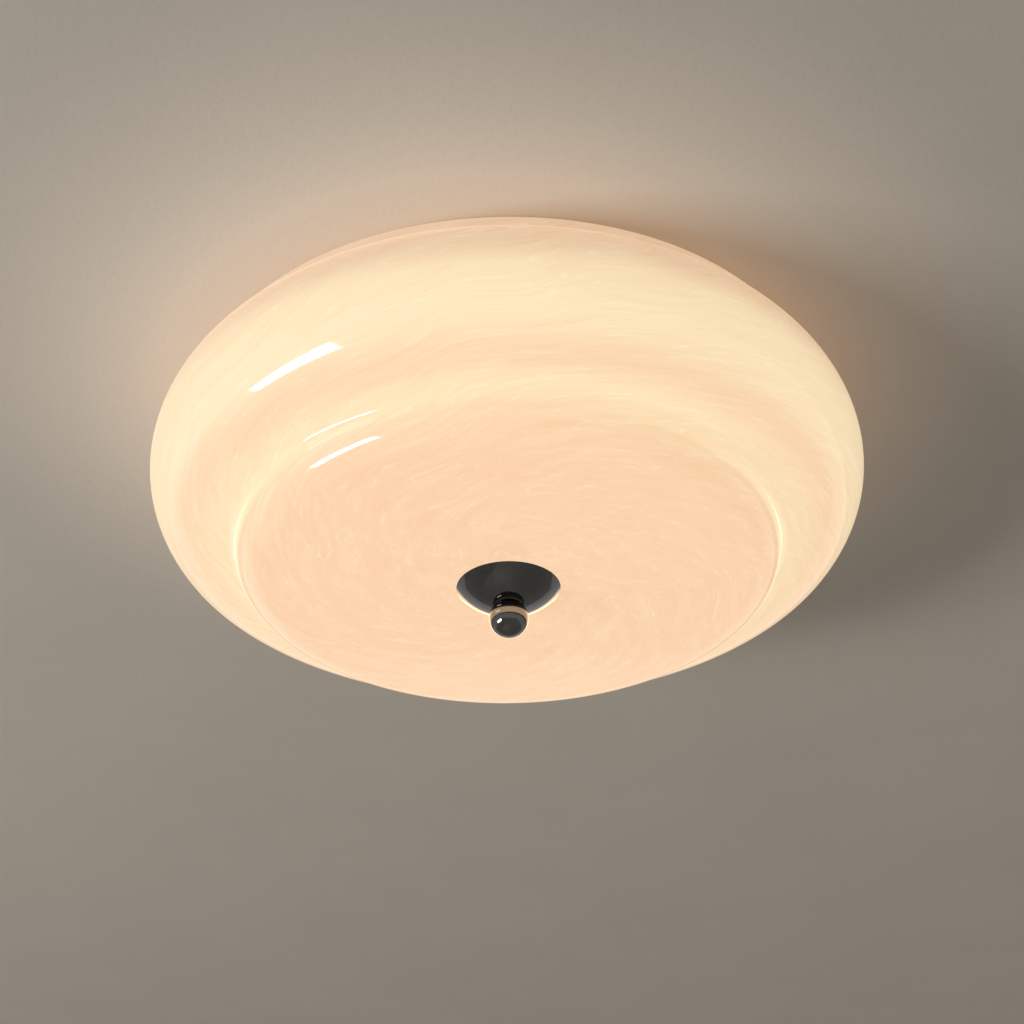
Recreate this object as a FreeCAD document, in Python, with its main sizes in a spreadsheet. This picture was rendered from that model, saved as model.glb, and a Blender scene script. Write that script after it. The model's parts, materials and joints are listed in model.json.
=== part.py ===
import FreeCAD, Part
import Sketcher
import math
import os

# Flush mount ceiling light: a blown glass shade hangs on a central threaded rod, held up by a
# pressed dish and a turned finial, around a flat ring of LEDs on a deep sheet steel pan.
# The origin is the middle of the ceiling plane. The light hangs down, along -Z.

# Driving sizes in millimetres: name, value, what it is
DRIVING_SIZES = [
    ("belly_radius", 200, "outside of the glass at its widest"),
    ("rim_inset", 22, "widest part in to the outside of the rim"),
    ("belly_pole_inset", 31.2, "widest part in to where the belly ends level"),
    ("belly_arc_inset", 5.2, "how much less than that inset the belly's end arcs measure"),
    ("belly_side_height", 14.3, "widest part up or down to the middle of an end arc"),
    ("tier_inset", 49.7, "widest part in to the outside of the lower tier"),
    ("shade_rim_gap", 1.5, "ceiling down to the rim"),
    ("shade_wall", 3.5, "glass thickness"),
    ("shade_collar_height", 4.51, "straight collar below the rim's lip"),
    ("shade_collar_fillet", 4, "outside fillet between the collar and the shoulder"),
    ("groove_arc", 5.5, "outside fillet in the groove above the lower tier"),
    ("tier_wall_height", 0.4, "straight side of the lower tier"),
    ("tier_arc", 16.6, "corner arc of the lower tier"),
    ("shade_bottom_rise", 0.6, "rise of the underside from the land to the tier"),
    ("shade_land_radius", 34, "flat land round the glass's hole"),
    ("pan_depth", 40, "ceiling down to the underside of the pan"),
    ("pan_rim_gap", 6.5, "inside of the glass's rim in to the pan's flange"),
    ("pan_flange_width", 10, "flange of the pan, out from its wall"),
    ("pan_sheet", 0.8, "sheet steel of the pan"),
    ("pan_corner_arc", 5, "outside arc of the pan's lower corner"),
    ("pan_flange_arc", 2, "outside arc under the pan's flange"),
    ("bracket_end_gap", 10, "outside of the pan's wall in to each end of the crossbar"),
    ("bracket_width", 25, "crossbar strip"),
    ("bracket_sheet", 2, "thickness of the strip"),
    ("bracket_foot_gap", 16, "middle of a long screw in to the foot of the slope"),
    ("bracket_drop", 5, "set-down of the crossbar's ends"),
    ("bracket_slope", 9, "length of each sloped part"),
    ("slot_spacing", 120, "between the centres of the screw slots"),
    ("slot_length", 25, "each slot, end to end"),
    ("slot_width", 5.5, "each slot, across"),
    ("cable_hole_radius", 10, "hole for the supply cable in the crossbar"),
    ("stud_inset", 22, "outside of the pan's wall in to the middle of a long screw"),
    ("stud_radius", 1.95, "long screw"),
    ("stud_gap", 0.3, "radial gap round a long screw"),
    ("stud_head_radius", 4, "head of a long screw"),
    ("stud_head_height", 2.4, "head of a long screw"),
    ("stud_nut_flats", 7, "nut under the crossbar, across its flats"),
    ("stud_nut_height", 3.2, "nut under the crossbar"),
    ("cap_washer_radius", 6, "washer under the pan"),
    ("cap_washer_height", 0.8, "washer under the pan"),
    ("cap_nut_radius", 4.6, "domed nut under the pan"),
    ("cap_nut_height", 8.5, "domed nut under the pan"),
    ("cap_nut_bore", 6, "depth of the domed nut's thread"),
    ("rod_radius", 4.93, "threaded rod, over its thread"),
    ("rod_bore_radius", 3.75, "bore of the hollow rod"),
    ("rod_rise", 7, "rod above the pan's underside"),
    ("rod_nut_flats", 14, "thin nut on the rod, across its flats"),
    ("rod_nut_height", 4, "thin nut on the rod"),
    ("rod_washer_radius", 10, "washer on the rod"),
    ("rod_washer_height", 1, "washer on the rod"),
    ("nut_fit", 0.05, "radial gap in the nuts on the rod"),
    ("loose_fit", 0.35, "radial gap of what slides over the rod"),
    ("thread_fit", 0.07, "radial running gap of the finial's thread"),
    ("thread_grip", 12, "rod inside the finial"),
    ("stop_pad_radius", 15, "silicone pad on the glass, inside the shade"),
    ("stop_pad_height", 2, "silicone pad on the glass, inside the shade"),
    ("stop_plate_radius", 17, "steel plate washer over the pad"),
    ("stop_plate_height", 1.5, "steel plate washer over the pad"),
    ("bush_flange_radius", 14, "flange of the silicone bush under the glass"),
    ("bush_flange_height", 2, "flange of the silicone bush under the glass"),
    ("bush_wall", 1.52, "wall of the bush's sleeve"),
    ("bush_sleeve_gap", 0.2, "radial gap between the bush and the glass's hole"),
    ("bush_sleeve_relief", 0.3, "how far the sleeve stops short of the glass's inside"),
    ("dish_radius", 28.65, "pressed dish"),
    ("dish_depth", 11.8, "glass down to the flat seat of the pressed dish"),
    ("dish_sheet", 1, "sheet metal of the dish"),
    ("dish_seat_width", 2.72, "flat seat of the dish, out from the hole for the rod"),
    ("spacer_gap", 0.6, "edge of the dish's seat in to the outside of the nylon spacer"),
    ("ball_radius", 10.78, "ball of the finial"),
    ("ball_level", 7.1, "seat of the finial down to the middle of its ball"),
    ("bore_end_gap", 1.5, "end of the rod down to the end of the finial's threaded hole"),
    ("board_inner_radius", 36, "LED board"),
    ("board_margin", 34, "outside of the pan's wall in to the edge of the LED board"),
    ("board_height", 1.6, "LED board"),
    ("inner_ring_radius", 60, "inner ring of LEDs"),
    ("inner_ring_count", 12, "LEDs in the inner ring"),
    ("outer_ring_inset", 18, "edge of the LED board in to the outer ring of LEDs"),
    ("outer_ring_count", 24, "LEDs in the outer ring"),
    ("package_length", 3.5, "LED package"),
    ("package_width", 2.8, "LED package"),
    ("package_height", 0.7, "LED package"),
    ("lens_radius", 6.5, "lens over an LED"),
    ("lens_height", 5.2, "lens over an LED"),
    ("lens_rim", 1.4, "straight rim of a lens"),
    ("lens_pocket_radius", 2.9, "hollow under a lens"),
    ("lens_pocket_height", 1.8, "hollow under a lens"),
    ("board_screw_inset", 22, "outer ring of LEDs in to the ring of board screws"),
    ("board_screw_count", 4, "board screws"),
    ("board_screw_radius", 1.45, "shank of a board screw"),
    ("board_screw_gap", 0.15, "radial gap round a board screw"),
    ("board_screw_head", 3, "radius of a board screw's head"),
    ("board_screw_head_height", 1.9, "head of a board screw"),
    ("board_screw_reach", 3.6, "board screw above the pan's floor"),
    ("connector_length", 9, "lead connector on the board, across"),
    ("connector_width", 8, "lead connector on the board, outwards"),
    ("connector_height", 4.5, "lead connector on the board"),
    ("connector_distance", 43, "rod to the middle of the lead connector"),
    ("grommet_distance", 26, "rod to the middle of the lead grommet"),
    ("grommet_hole_radius", 5.4, "hole in the pan for the lead grommet"),
    ("grommet_flange_radius", 7.6, "lead grommet"),
    ("grommet_flange_height", 1.8, "each flange of the lead grommet"),
    ("grommet_bore_radius", 3.8, "bore of the lead grommet"),
    ("driver_x", 0, "middle of the driver"),
    ("driver_y", 82, "middle of the driver"),
    ("driver_length", 88, "driver case"),
    ("driver_width", 40, "driver case"),
    ("driver_height", 24, "driver case over its base"),
    ("driver_wall", 1.5, "wall of the driver case"),
    ("driver_base_height", 2, "driver base plate"),
    ("driver_ear", 9, "length of each ear of the base plate"),
    ("driver_corner", 3, "upright corners of the driver case"),
    ("driver_post_radius", 2.4, "posts under the circuit board"),
    ("driver_post_height", 3, "posts under the circuit board"),
    ("circuit_height", 1.6, "circuit board of the driver"),
    ("circuit_gap", 0.6, "gap round the circuit board"),
    ("fixing_radius", 1.45, "shank of a fixing screw"),
    ("fixing_head_radius", 2.9, "head of a fixing screw"),
    ("fixing_head_height", 1.9, "head of a fixing screw"),
    ("fixing_gap", 0.15, "radial gap round a fixing screw"),
    ("terminal_x", -38, "middle of the terminal block"),
    ("terminal_y", -62, "middle of the terminal block"),
    ("terminal_pitch", 10, "between the poles of the terminal block"),
    ("terminal_width", 17, "terminal block, along the wires"),
    ("terminal_height", 14, "terminal block"),
    ("terminal_wire_level", 6.5, "pan's floor up to the middle of the wires"),
    ("insert_radius", 2.6, "brass insert"),
    ("insert_bore_radius", 1.6, "wire hole of an insert"),
    ("insert_length", 14, "brass insert"),
    ("clamp_screw_radius", 1.4, "wire clamp screw"),
    ("clamp_screw_spacing", 7, "between the two clamp screws of a pole"),
    ("clamp_screw_sink", 1.5, "top of the block down to the clamp screws"),
    ("earth_x", 22, "earth screw"),
    ("earth_y", -62, "earth screw"),
    ("earth_tag_radius", 4.2, "ring of the earth tag"),
    ("earth_tag_sheet", 0.8, "sheet of the earth tag"),
    ("earth_barrel_length", 8, "crimp barrel of the earth tag"),
    ("earth_barrel_radius", 1.9, "crimp barrel of the earth tag"),
    ("earth_barrel_lift", 0.2, "crimp barrel above the pan's floor"),
    ("lead_radius", 1.1, "insulated lead"),
    ("lead_offset", 1.35, "each lead of a pair off the middle of the pair"),
    ("lead_level", 10, "pan's floor up to the middle of the leads"),
    ("live_bow", 34, "driver's end out to the live lead"),
    ("neutral_bow", 28, "driver's end out to the neutral lead"),
    ("bow_ease", 4, "how much less the mains leads bow out where they start"),
    ("mains_run_out", 14, "terminal block to the mains leads' first bend"),
    ("earth_run_out", 12, "terminal block to the earth lead's first bend"),
    ("earth_bow", 12, "width of each bow of the earth lead"),
    ("earth_bow_out", 26, "terminal block to the earth lead's first bow"),
    ("earth_bow_back", 22, "earth tag back to the earth lead's second bow"),
    ("earth_run_in", 9, "earth tag back to the earth lead's last bend"),
    ("earth_lead_grip", 3, "earth lead inside the tag's barrel"),
    ("led_bow", 23, "driver's end out to the LED leads"),
    ("led_run_back", 34, "LED leads, driver's entry back to their second bend"),
    ("led_run_in", 7, "LED leads, last bend above the grommet"),
]

HEX_CORNER = 1 / math.sqrt(3)
BOARD_SCREW_TURN = 45
COS_SCREW_TURN = math.cos(math.radians(BOARD_SCREW_TURN))
SIN_SCREW_TURN = math.sin(math.radians(BOARD_SCREW_TURN))
FULL_TURN = 360
SHEET_NAME = "sizes"


class Size:
    """A length that carries the expression it comes from, so that what is worked out from it stays bound."""

    def __init__(self, value, text):
        self.value = value
        self.text = text

    def __add__(self, other):
        return joined(self, "+", other, self.value + as_size(other).value)

    def __radd__(self, other):
        return as_size(other) + self

    def __sub__(self, other):
        return joined(self, "-", other, self.value - as_size(other).value)

    def __rsub__(self, other):
        return as_size(other) - self

    def __mul__(self, other):
        return joined(self, "*", other, self.value * as_size(other).value)

    def __rmul__(self, other):
        return as_size(other) * self

    def __truediv__(self, other):
        return joined(self, "/", other, self.value / as_size(other).value)

    def __neg__(self):
        return as_size(0) - self


def as_size(thing):
    if isinstance(thing, Size):
        return thing
    return Size(float(thing), f"({float(thing)!r})")


def joined(left, sign, right, value):
    return Size(value, f"({left.text} {sign} {as_size(right).text})")


def root(size):
    return Size(math.sqrt(size.value), f"sqrt({size.text})")


class Sizes:
    """Every driving size by its name."""

    def __init__(self, rows):
        for alias, value, _ in rows:
            setattr(self, alias, Size(float(value), f"{SHEET_NAME}.{alias}"))


def make_sheet():
    sheet = document.addObject("Spreadsheet::Sheet", SHEET_NAME)
    for row, (alias, value, note) in enumerate(DRIVING_SIZES, start=1):
        sheet.set(f"A{row}", note)
        sheet.set(f"B{row}", str(value))
        sheet.setAlias(f"B{row}", alias)
    document.recompute()
    return sheet


def bind(item, path, size):
    item.setExpression(path, as_size(size).text)


# Bodies, sketches and features

def new_body(label, x=None, y=None):
    """A body of its own, moved to x, y where these are given."""
    body = document.addObject("PartDesign::Body", label)
    body.Label = label
    parts.append(body)
    if x is not None:
        bind(body, "Placement.Base.x", x)
        bind(body, "Placement.Base.y", y)
    return body


def origin_feature(body, role):
    return next(item for item in body.Origin.OriginFeatures if item.Role == role)


def new_sketch(body, plane="XZ_Plane", offset=None):
    sketch = body.newObject("Sketcher::SketchObject", f"{body.Label}_sketch")
    sketch.AttachmentSupport = [(origin_feature(body, plane), "")]
    sketch.MapMode = "FlatFace"
    if offset is not None:
        bind(sketch, "AttachmentOffset.Base.z", offset)
    return sketch


def hold(sketch, kind, reference, size):
    """Add a dimension and bind it to its size. The reference is the constraint's geometry and points."""
    index = sketch.addConstraint(Sketcher.Constraint(kind, *reference, size.value))
    bind(sketch, f"Constraints[{index}]", size)


def hold_point(sketch, geometry, point, x, y):
    """Fix one point of a sketch at x, y. A plain 0 puts it on the axis."""
    if isinstance(x, Size):
        hold(sketch, "DistanceX", (-1, 1, geometry, point), x)
    else:
        sketch.addConstraint(Sketcher.Constraint("PointOnObject", geometry, point, -2))
    if isinstance(y, Size):
        hold(sketch, "DistanceY", (-1, 1, geometry, point), y)
    else:
        sketch.addConstraint(Sketcher.Constraint("PointOnObject", geometry, point, -1))


def at(x, y):
    return FreeCAD.Vector(as_size(x).value, as_size(y).value, 0)


def arc_between(start, end, radius, centre_on_left):
    """The arc of less than half a turn from start to end."""
    chord = end - start
    reach = math.sqrt(max(radius ** 2 - (chord.Length / 2) ** 2, 0))
    side = 1 if centre_on_left else -1
    across = FreeCAD.Vector(-chord.y, chord.x, 0).normalize() * side * reach
    centre = (start + end) / 2 + across
    circle = Part.Circle(centre, FreeCAD.Vector(0, 0, 1), radius)
    angles = [math.atan2(point.y - centre.y, point.x - centre.x) for point in (start, end)]
    if not centre_on_left:
        angles.reverse()
    return Part.ArcOfCircle(circle, *angles)


def draw_outline(sketch, corners):
    """Draw a closed outline. A corner is (x, y), or (x, y, turn, radius) where an arc leaves it.

    turn is "left" where the arc's centre lies to the left of the way along it, and "right" otherwise.
    """
    ends = []
    for index, corner in enumerate(corners):
        following = corners[(index + 1) % len(corners)]
        start = at(*corner[:2])
        end = at(*following[:2])
        if len(corner) == 2:
            edge = sketch.addGeometry(Part.LineSegment(start, end), False)
            ends.append((edge, 1, 2))
        else:
            turn, radius = corner[2:]
            left = turn == "left"
            edge = sketch.addGeometry(arc_between(start, end, radius.value, left), False)
            ends.append((edge, 1, 2) if left else (edge, 2, 1))
            hold(sketch, "Radius", (edge,), radius)
    for index, (edge, first, _) in enumerate(ends):
        before, _, last = ends[index - 1]
        sketch.addConstraint(Sketcher.Constraint("Coincident", before, last, edge, first))
        hold_point(sketch, edge, first, *corners[index][:2])


def draw_circle(sketch, x, y, radius):
    circle = Part.Circle(at(x, y), FreeCAD.Vector(0, 0, 1), radius.value)
    edge = sketch.addGeometry(circle, False)
    hold(sketch, "Radius", (edge,), radius)
    hold_point(sketch, edge, 3, x, y)


def draw_rectangle(sketch, x, y, length, width):
    """A rectangle centred on x, y."""
    draw_outline(sketch, [
        (x - length / 2, y - width / 2),
        (x + length / 2, y - width / 2),
        (x + length / 2, y + width / 2),
        (x - length / 2, y + width / 2),
    ])


def draw_hexagon(sketch, x, y, flats):
    """A hexagon with two corners on the line through x, y along X."""
    far = flats * HEX_CORNER
    draw_outline(sketch, [
        (x + far, y),
        (x + far / 2, y + flats / 2),
        (x - far / 2, y + flats / 2),
        (x - far, y),
        (x - far / 2, y - flats / 2),
        (x + far / 2, y - flats / 2),
    ])


def draw_slot(sketch, x, length, width):
    """A round-ended slot along X, centred on x."""
    straight = (length - width) / 2
    half = width / 2
    draw_outline(sketch, [
        (x - straight, -half),
        (x + straight, -half, "left", half),
        (x + straight + half, 0, "left", half),
        (x + straight, half),
        (x - straight, half, "left", half),
        (x - straight - half, 0, "left", half),
    ])


def draw_axis(sketch, x):
    """A construction line along the sketch's upright direction, to turn an outline about."""
    line = Part.LineSegment(at(x, 0), at(x, 1))
    edge = sketch.addGeometry(line, True)
    hold_point(sketch, edge, 1, x, 0)
    sketch.addConstraint(Sketcher.Constraint("Vertical", edge))
    hold(sketch, "DistanceY", (edge, 1, edge, 2), as_size(1))


def turn(body, sketch, axis="V_Axis"):
    feature = body.newObject("PartDesign::Revolution", f"{body.Label}_turned")
    feature.Profile = sketch
    feature.ReferenceAxis = (sketch, [axis])
    feature.Angle = FULL_TURN
    return feature


def pad(body, sketch, length, midplane=False, reverse=False):
    feature = body.newObject("PartDesign::Pad", f"{body.Label}_pad")
    feature.Profile = sketch
    feature.Midplane = midplane
    feature.Reversed = reverse
    bind(feature, "Length", length)
    return feature


def cut_through(body, sketch, length):
    """A pocket that reaches the given length to both sides of its sketch."""
    document.recompute()
    before = body.Shape.Volume
    feature = body.newObject("PartDesign::Pocket", f"{body.Label}_cut")
    feature.Profile = sketch
    feature.Midplane = True
    bind(feature, "Length", length * 2)
    document.recompute()
    if not body.Shape.Volume < before:
        raise RuntimeError(f"{body.Label}: a pocket removed nothing")
    return feature


def ring_of(body, feature, count):
    """Repeat a feature round the body's Z axis."""
    pattern = body.newObject("PartDesign::PolarPattern", f"{body.Label}_ring")
    pattern.Originals = [feature]
    pattern.Axis = (origin_feature(body, "Z_Axis"), [""])
    pattern.Angle = FULL_TURN
    bind(pattern, "Occurrences", count)
    body.Tip = pattern


def rounded(body, feature, radius, chosen):
    """Fillet the edges of a feature for which chosen(edge) is true."""
    document.recompute()
    names = [f"Edge{number}" for number, edge in enumerate(feature.Shape.Edges, start=1) if chosen(edge)]
    if not names:
        raise RuntimeError(f"{body.Label}: no edge to round")
    fillet = body.newObject("PartDesign::Fillet", f"{body.Label}_fillet")
    fillet.Base = (feature, names)
    bind(fillet, "Radius", radius)
    body.Tip = fillet
    return fillet


def is_upright(edge):
    """True for a straight edge along Z."""
    first, last = edge.Vertexes[0].Point, edge.Vertexes[-1].Point
    level = math.hypot(first.x - last.x, first.y - last.y)
    return level < LEAST and abs(first.z - last.z) > LEAST


LEAST = 1e-4


# Whole pieces of common kinds

def ring_piece(label, inner, outer, top, bottom):
    """A washer, spacer or plate turned about the rod's axis."""
    body = new_body(label)
    sketch = new_sketch(body)
    draw_outline(sketch, [(inner, bottom), (outer, bottom), (outer, top), (inner, top)])
    turn(body, sketch)
    return body


def hex_nut(label, flats, bore, top, height):
    """A nut on the rod's axis."""
    body = new_body(label)
    sketch = new_sketch(body, "XY_Plane", top - height)
    draw_hexagon(sketch, as_size(0), as_size(0), flats)
    draw_circle(sketch, 0, 0, bore)
    pad(body, sketch, height)
    return body


def standing_screw(label, x, y, seat, head_radius, head_height, shank_radius, reach):
    """A cheese head screw that goes down into a floor: its head is above the seat, its shank below."""
    body = new_body(label, x, y)
    sketch = new_sketch(body)
    draw_outline(sketch, [
        (0, seat - reach),
        (shank_radius, seat - reach),
        (shank_radius, seat),
        (head_radius, seat),
        (head_radius, seat + head_height),
        (0, seat + head_height),
    ])
    turn(body, sketch)
    slot = new_sketch(body, "XY_Plane", seat + head_height)
    draw_rectangle(slot, as_size(0), as_size(0), head_radius * SCREW_SLOT_LENGTH, head_radius * SCREW_SLOT_WIDTH)
    cut_through(body, slot, head_height * SCREW_SLOT_DEPTH)
    return body


SCREW_SLOT_LENGTH = 2.2
SCREW_SLOT_WIDTH = 0.28
SCREW_SLOT_DEPTH = 0.45


# Glass shade

def shade_outline(inset):
    """One side of the glass's wall from the rim down to the hole, moved inwards by inset.

    The belly is an oval of three arcs between the collar and the level underside.
    """
    up = d.belly_side_height
    side_arc = (pole_reach * pole_reach + up * up - end_arc * end_arc) / (d.belly_arc_inset * 2)
    side_centre = d.belly_radius - side_arc
    side_share = (side_arc - inset) / (side_arc - end_arc)
    joint_radius = side_centre + (pole_radius - side_centre) * side_share
    joint_height = up * side_share
    shoulder_level = up - belly_level
    shoulder_share = (end_arc - inset) / (end_arc + d.shade_collar_fillet)
    underside = -belly_foot + inset
    floor = -shade_depth + inset
    groove_level = -belly_foot - d.groove_arc
    tier_level = groove_level - d.tier_wall_height
    return [
        (rim_radius - inset, shoulder_level + fillet_up, "left", d.shade_collar_fillet + inset),
        (pole_radius + fillet_across * shoulder_share, shoulder_level + fillet_up * shoulder_share,
         "right", end_arc - inset),
        (joint_radius, joint_height - belly_level, "right", side_arc - inset),
        (joint_radius, -joint_height - belly_level, "right", end_arc - inset),
        (pole_radius, underside),
        (tier_radius + d.groove_arc, underside, "left", d.groove_arc + inset),
        (tier_radius - inset, groove_level),
        (tier_radius - inset, tier_level, "right", d.tier_arc - inset),
        (tier_radius - d.tier_arc, floor + d.shade_bottom_rise),
        (d.shade_land_radius, floor),
        (shade_hole_radius, floor),
    ]


def make_glass_shade():
    body = new_body("glass_shade")
    sketch = new_sketch(body)
    outside = shade_outline(as_size(0))
    inside = shade_outline(d.shade_wall)
    lip = d.shade_wall / 2
    lip_level = -d.shade_rim_gap - lip
    rim = [
        (rim_radius - d.shade_wall, lip_level, "right", lip),
        (rim_radius - lip, -d.shade_rim_gap, "right", lip),
        (rim_radius, lip_level),
    ]
    draw_outline(sketch, rim + outside + backwards(inside))
    turn(body, sketch)


def backwards(corners):
    """The same outline taken the other way: each arc belongs to its other end and turns the other way."""
    taken = []
    for index in range(len(corners) - 1, -1, -1):
        point = corners[index][:2]
        arc = corners[index - 1][2:] if index > 0 else ()
        if arc:
            other_way = "left" if arc[0] == "right" else "right"
            taken.append((*point, other_way, arc[1]))
        else:
            taken.append(point)
    return taken


# Ceiling crossbar, long screws and pan

def make_crossbar():
    body = new_body("crossbar")
    sketch = new_sketch(body)
    end = pan_radius - d.bracket_end_gap
    foot = stud_middle - d.bracket_foot_gap
    flat = foot - d.bracket_slope
    drop = d.bracket_drop
    low = drop + d.bracket_sheet
    inner = d.bracket_sheet * BEND_SHARE
    draw_outline(sketch, [
        (-end, -low), (-foot, -low), (-flat + inner, -d.bracket_sheet),
        (flat - inner, -d.bracket_sheet), (foot, -low), (end, -low),
        (end, -drop), (foot + inner, -drop), (flat, 0), (-flat, 0), (-foot - inner, -drop), (-end, -drop),
    ])
    strip = pad(body, sketch, d.bracket_width, midplane=True)
    rounded(body, strip, d.bracket_width * END_ROUNDING, is_upright)
    holes = new_sketch(body, "XY_Plane", -low / 2)
    for side in (-1, 1):
        draw_slot(holes, d.slot_spacing * side / 2, d.slot_length, d.slot_width)
        draw_circle(holes, stud_middle * side, 0, d.stud_radius + d.stud_gap)
    draw_circle(holes, 0, 0, d.cable_hole_radius)
    cut_through(body, holes, low)


BEND_SHARE = 0.4
END_ROUNDING = 0.3


def make_long_screws():
    """Two long screws: heads on top of the crossbar's ends, shanks down into the domed nuts."""
    body = new_body("long_screws")
    sketch = new_sketch(body)
    middle = stud_middle
    seat = -d.bracket_drop
    foot = nut_seat - d.cap_nut_bore + NUT_END_GAP
    draw_outline(sketch, [
        (middle, foot),
        (middle + d.stud_radius, foot),
        (middle + d.stud_radius, seat),
        (middle + d.stud_head_radius, seat),
        (middle + d.stud_head_radius, seat + d.stud_head_height),
        (middle, seat + d.stud_head_height),
    ])
    draw_axis(sketch, middle)
    screw = turn(body, sketch, "Axis0")
    ring_of(body, screw, PAIR)


PAIR = 2
NUT_END_GAP = 0.5


def make_long_screw_nuts():
    body = new_body("long_screw_nuts")
    top = -d.bracket_drop - d.bracket_sheet
    sketch = new_sketch(body, "XY_Plane", top - d.stud_nut_height)
    draw_hexagon(sketch, stud_middle, as_size(0), d.stud_nut_flats)
    draw_circle(sketch, stud_middle, 0, d.stud_radius + d.nut_fit)
    ring_of(body, pad(body, sketch, d.stud_nut_height), PAIR)


def make_pan_washers():
    body = new_body("pan_washers")
    sketch = new_sketch(body, "XY_Plane", nut_seat)
    draw_circle(sketch, stud_middle, 0, d.cap_washer_radius)
    draw_circle(sketch, stud_middle, 0, d.stud_radius + d.stud_gap)
    ring_of(body, pad(body, sketch, d.cap_washer_height), PAIR)


def make_domed_nuts():
    """Two domed nuts: a hexagon for the spanner and a round dome below it."""
    body = new_body("domed_nuts")
    middle = stud_middle
    sketch = new_sketch(body)
    bore = d.stud_radius + d.nut_fit
    tip = nut_seat - d.cap_nut_height
    shoulder = tip + d.cap_nut_radius
    draw_outline(sketch, [
        (middle + bore, nut_seat),
        (middle + bore, nut_seat - d.cap_nut_bore),
        (middle, nut_seat - d.cap_nut_bore),
        (middle, tip, "left", d.cap_nut_radius),
        (middle + d.cap_nut_radius, shoulder),
        (middle + d.cap_nut_radius, nut_seat),
    ])
    draw_axis(sketch, middle)
    ring_of(body, turn(body, sketch, "Axis0"), PAIR)


def make_base_pan():
    body = new_body("base_pan")
    sketch = new_sketch(body)
    bottom = -d.pan_depth
    inside = pan_radius - d.pan_sheet
    corner = pan_radius - d.pan_corner_arc
    neck = pan_radius + d.pan_flange_arc
    draw_outline(sketch, [
        (0, bottom),
        (corner, bottom, "left", d.pan_corner_arc),
        (pan_radius, bottom + d.pan_corner_arc),
        (pan_radius, -d.pan_sheet - d.pan_flange_arc, "right", d.pan_flange_arc),
        (neck, -d.pan_sheet),
        (pan_flange_radius, -d.pan_sheet),
        (pan_flange_radius, 0),
        (neck, 0, "left", d.pan_flange_arc + d.pan_sheet),
        (inside, -d.pan_sheet - d.pan_flange_arc),
        (inside, bottom + d.pan_corner_arc, "right", d.pan_corner_arc - d.pan_sheet),
        (corner, pan_floor),
        (0, pan_floor),
    ])
    turn(body, sketch)
    holes = new_sketch(body, "XY_Plane", pan_floor)
    draw_circle(holes, 0, 0, rod_hole)
    draw_circle(holes, 0, d.grommet_distance, d.grommet_hole_radius)
    for side in (-1, 1):
        draw_circle(holes, stud_middle * side, 0, d.stud_radius + d.stud_gap)
    for x, y in fixing_places():
        draw_circle(holes, x, y, d.fixing_radius + d.fixing_gap)
    cut_through(body, holes, d.pan_sheet * 2)
    screw_hole = new_sketch(body, "XY_Plane", pan_floor)
    draw_circle(screw_hole, *first_board_screw(), d.board_screw_radius + d.board_screw_gap)
    ring_of(body, cut_through(body, screw_hole, d.pan_sheet * 2), d.board_screw_count)


def fixing_places():
    """Where the fixing screws of the driver, terminal block and earth tag go through the pan's floor."""
    ear = d.driver_length / 2 + d.driver_ear / 2
    return [
        (d.driver_x - ear, d.driver_y),
        (d.driver_x + ear, d.driver_y),
        (d.terminal_x + d.terminal_pitch / 2, d.terminal_y),
        (d.earth_x, d.earth_y),
    ]


def first_board_screw():
    return board_screw_circle * COS_SCREW_TURN, board_screw_circle * SIN_SCREW_TURN


# Threaded rod and what is on it

def make_rod_group():
    floor = pan_floor
    bore = d.rod_radius + d.nut_fit
    ring_piece("hollow_rod", d.rod_bore_radius, d.rod_radius, -d.pan_depth + d.rod_rise, rod_end)
    upper = floor + d.rod_washer_height
    ring_piece("rod_upper_washer", rod_hole, d.rod_washer_radius, upper, floor)
    hex_nut("rod_upper_nut", d.rod_nut_flats, bore, upper + d.rod_nut_height, d.rod_nut_height)
    lower = -d.pan_depth - d.rod_washer_height
    ring_piece("rod_lower_washer", rod_hole, d.rod_washer_radius, -d.pan_depth, lower)
    hex_nut("rod_lower_nut", d.rod_nut_flats, bore, lower, d.rod_nut_height)
    pad_top = shade_floor + d.stop_pad_height
    plate_top = pad_top + d.stop_plate_height
    ring_piece("stop_pad", rod_hole, d.stop_pad_radius, pad_top, shade_floor)
    ring_piece("stop_plate", rod_hole, d.stop_plate_radius, plate_top, pad_top)
    hex_nut("stop_nut", d.rod_nut_flats, bore, plate_top + d.rod_nut_height, d.rod_nut_height)


def make_lead_grommet():
    """A rubber grommet whose groove holds the pan's floor."""
    body = new_body("lead_grommet", as_size(0), d.grommet_distance)
    sketch = new_sketch(body)
    top = pan_floor + d.grommet_flange_height
    foot = -d.pan_depth - d.grommet_flange_height
    soft = d.grommet_flange_height / 2
    edge = d.grommet_flange_radius
    draw_outline(sketch, [
        (d.grommet_bore_radius, foot),
        (edge - soft, foot, "left", soft),
        (edge, foot + soft),
        (edge, -d.pan_depth),
        (d.grommet_hole_radius, -d.pan_depth),
        (d.grommet_hole_radius, pan_floor),
        (edge, pan_floor),
        (edge, top - soft, "left", soft),
        (edge - soft, top),
        (d.grommet_bore_radius, top),
    ])
    turn(body, sketch)


# What comes off with the shade

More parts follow.
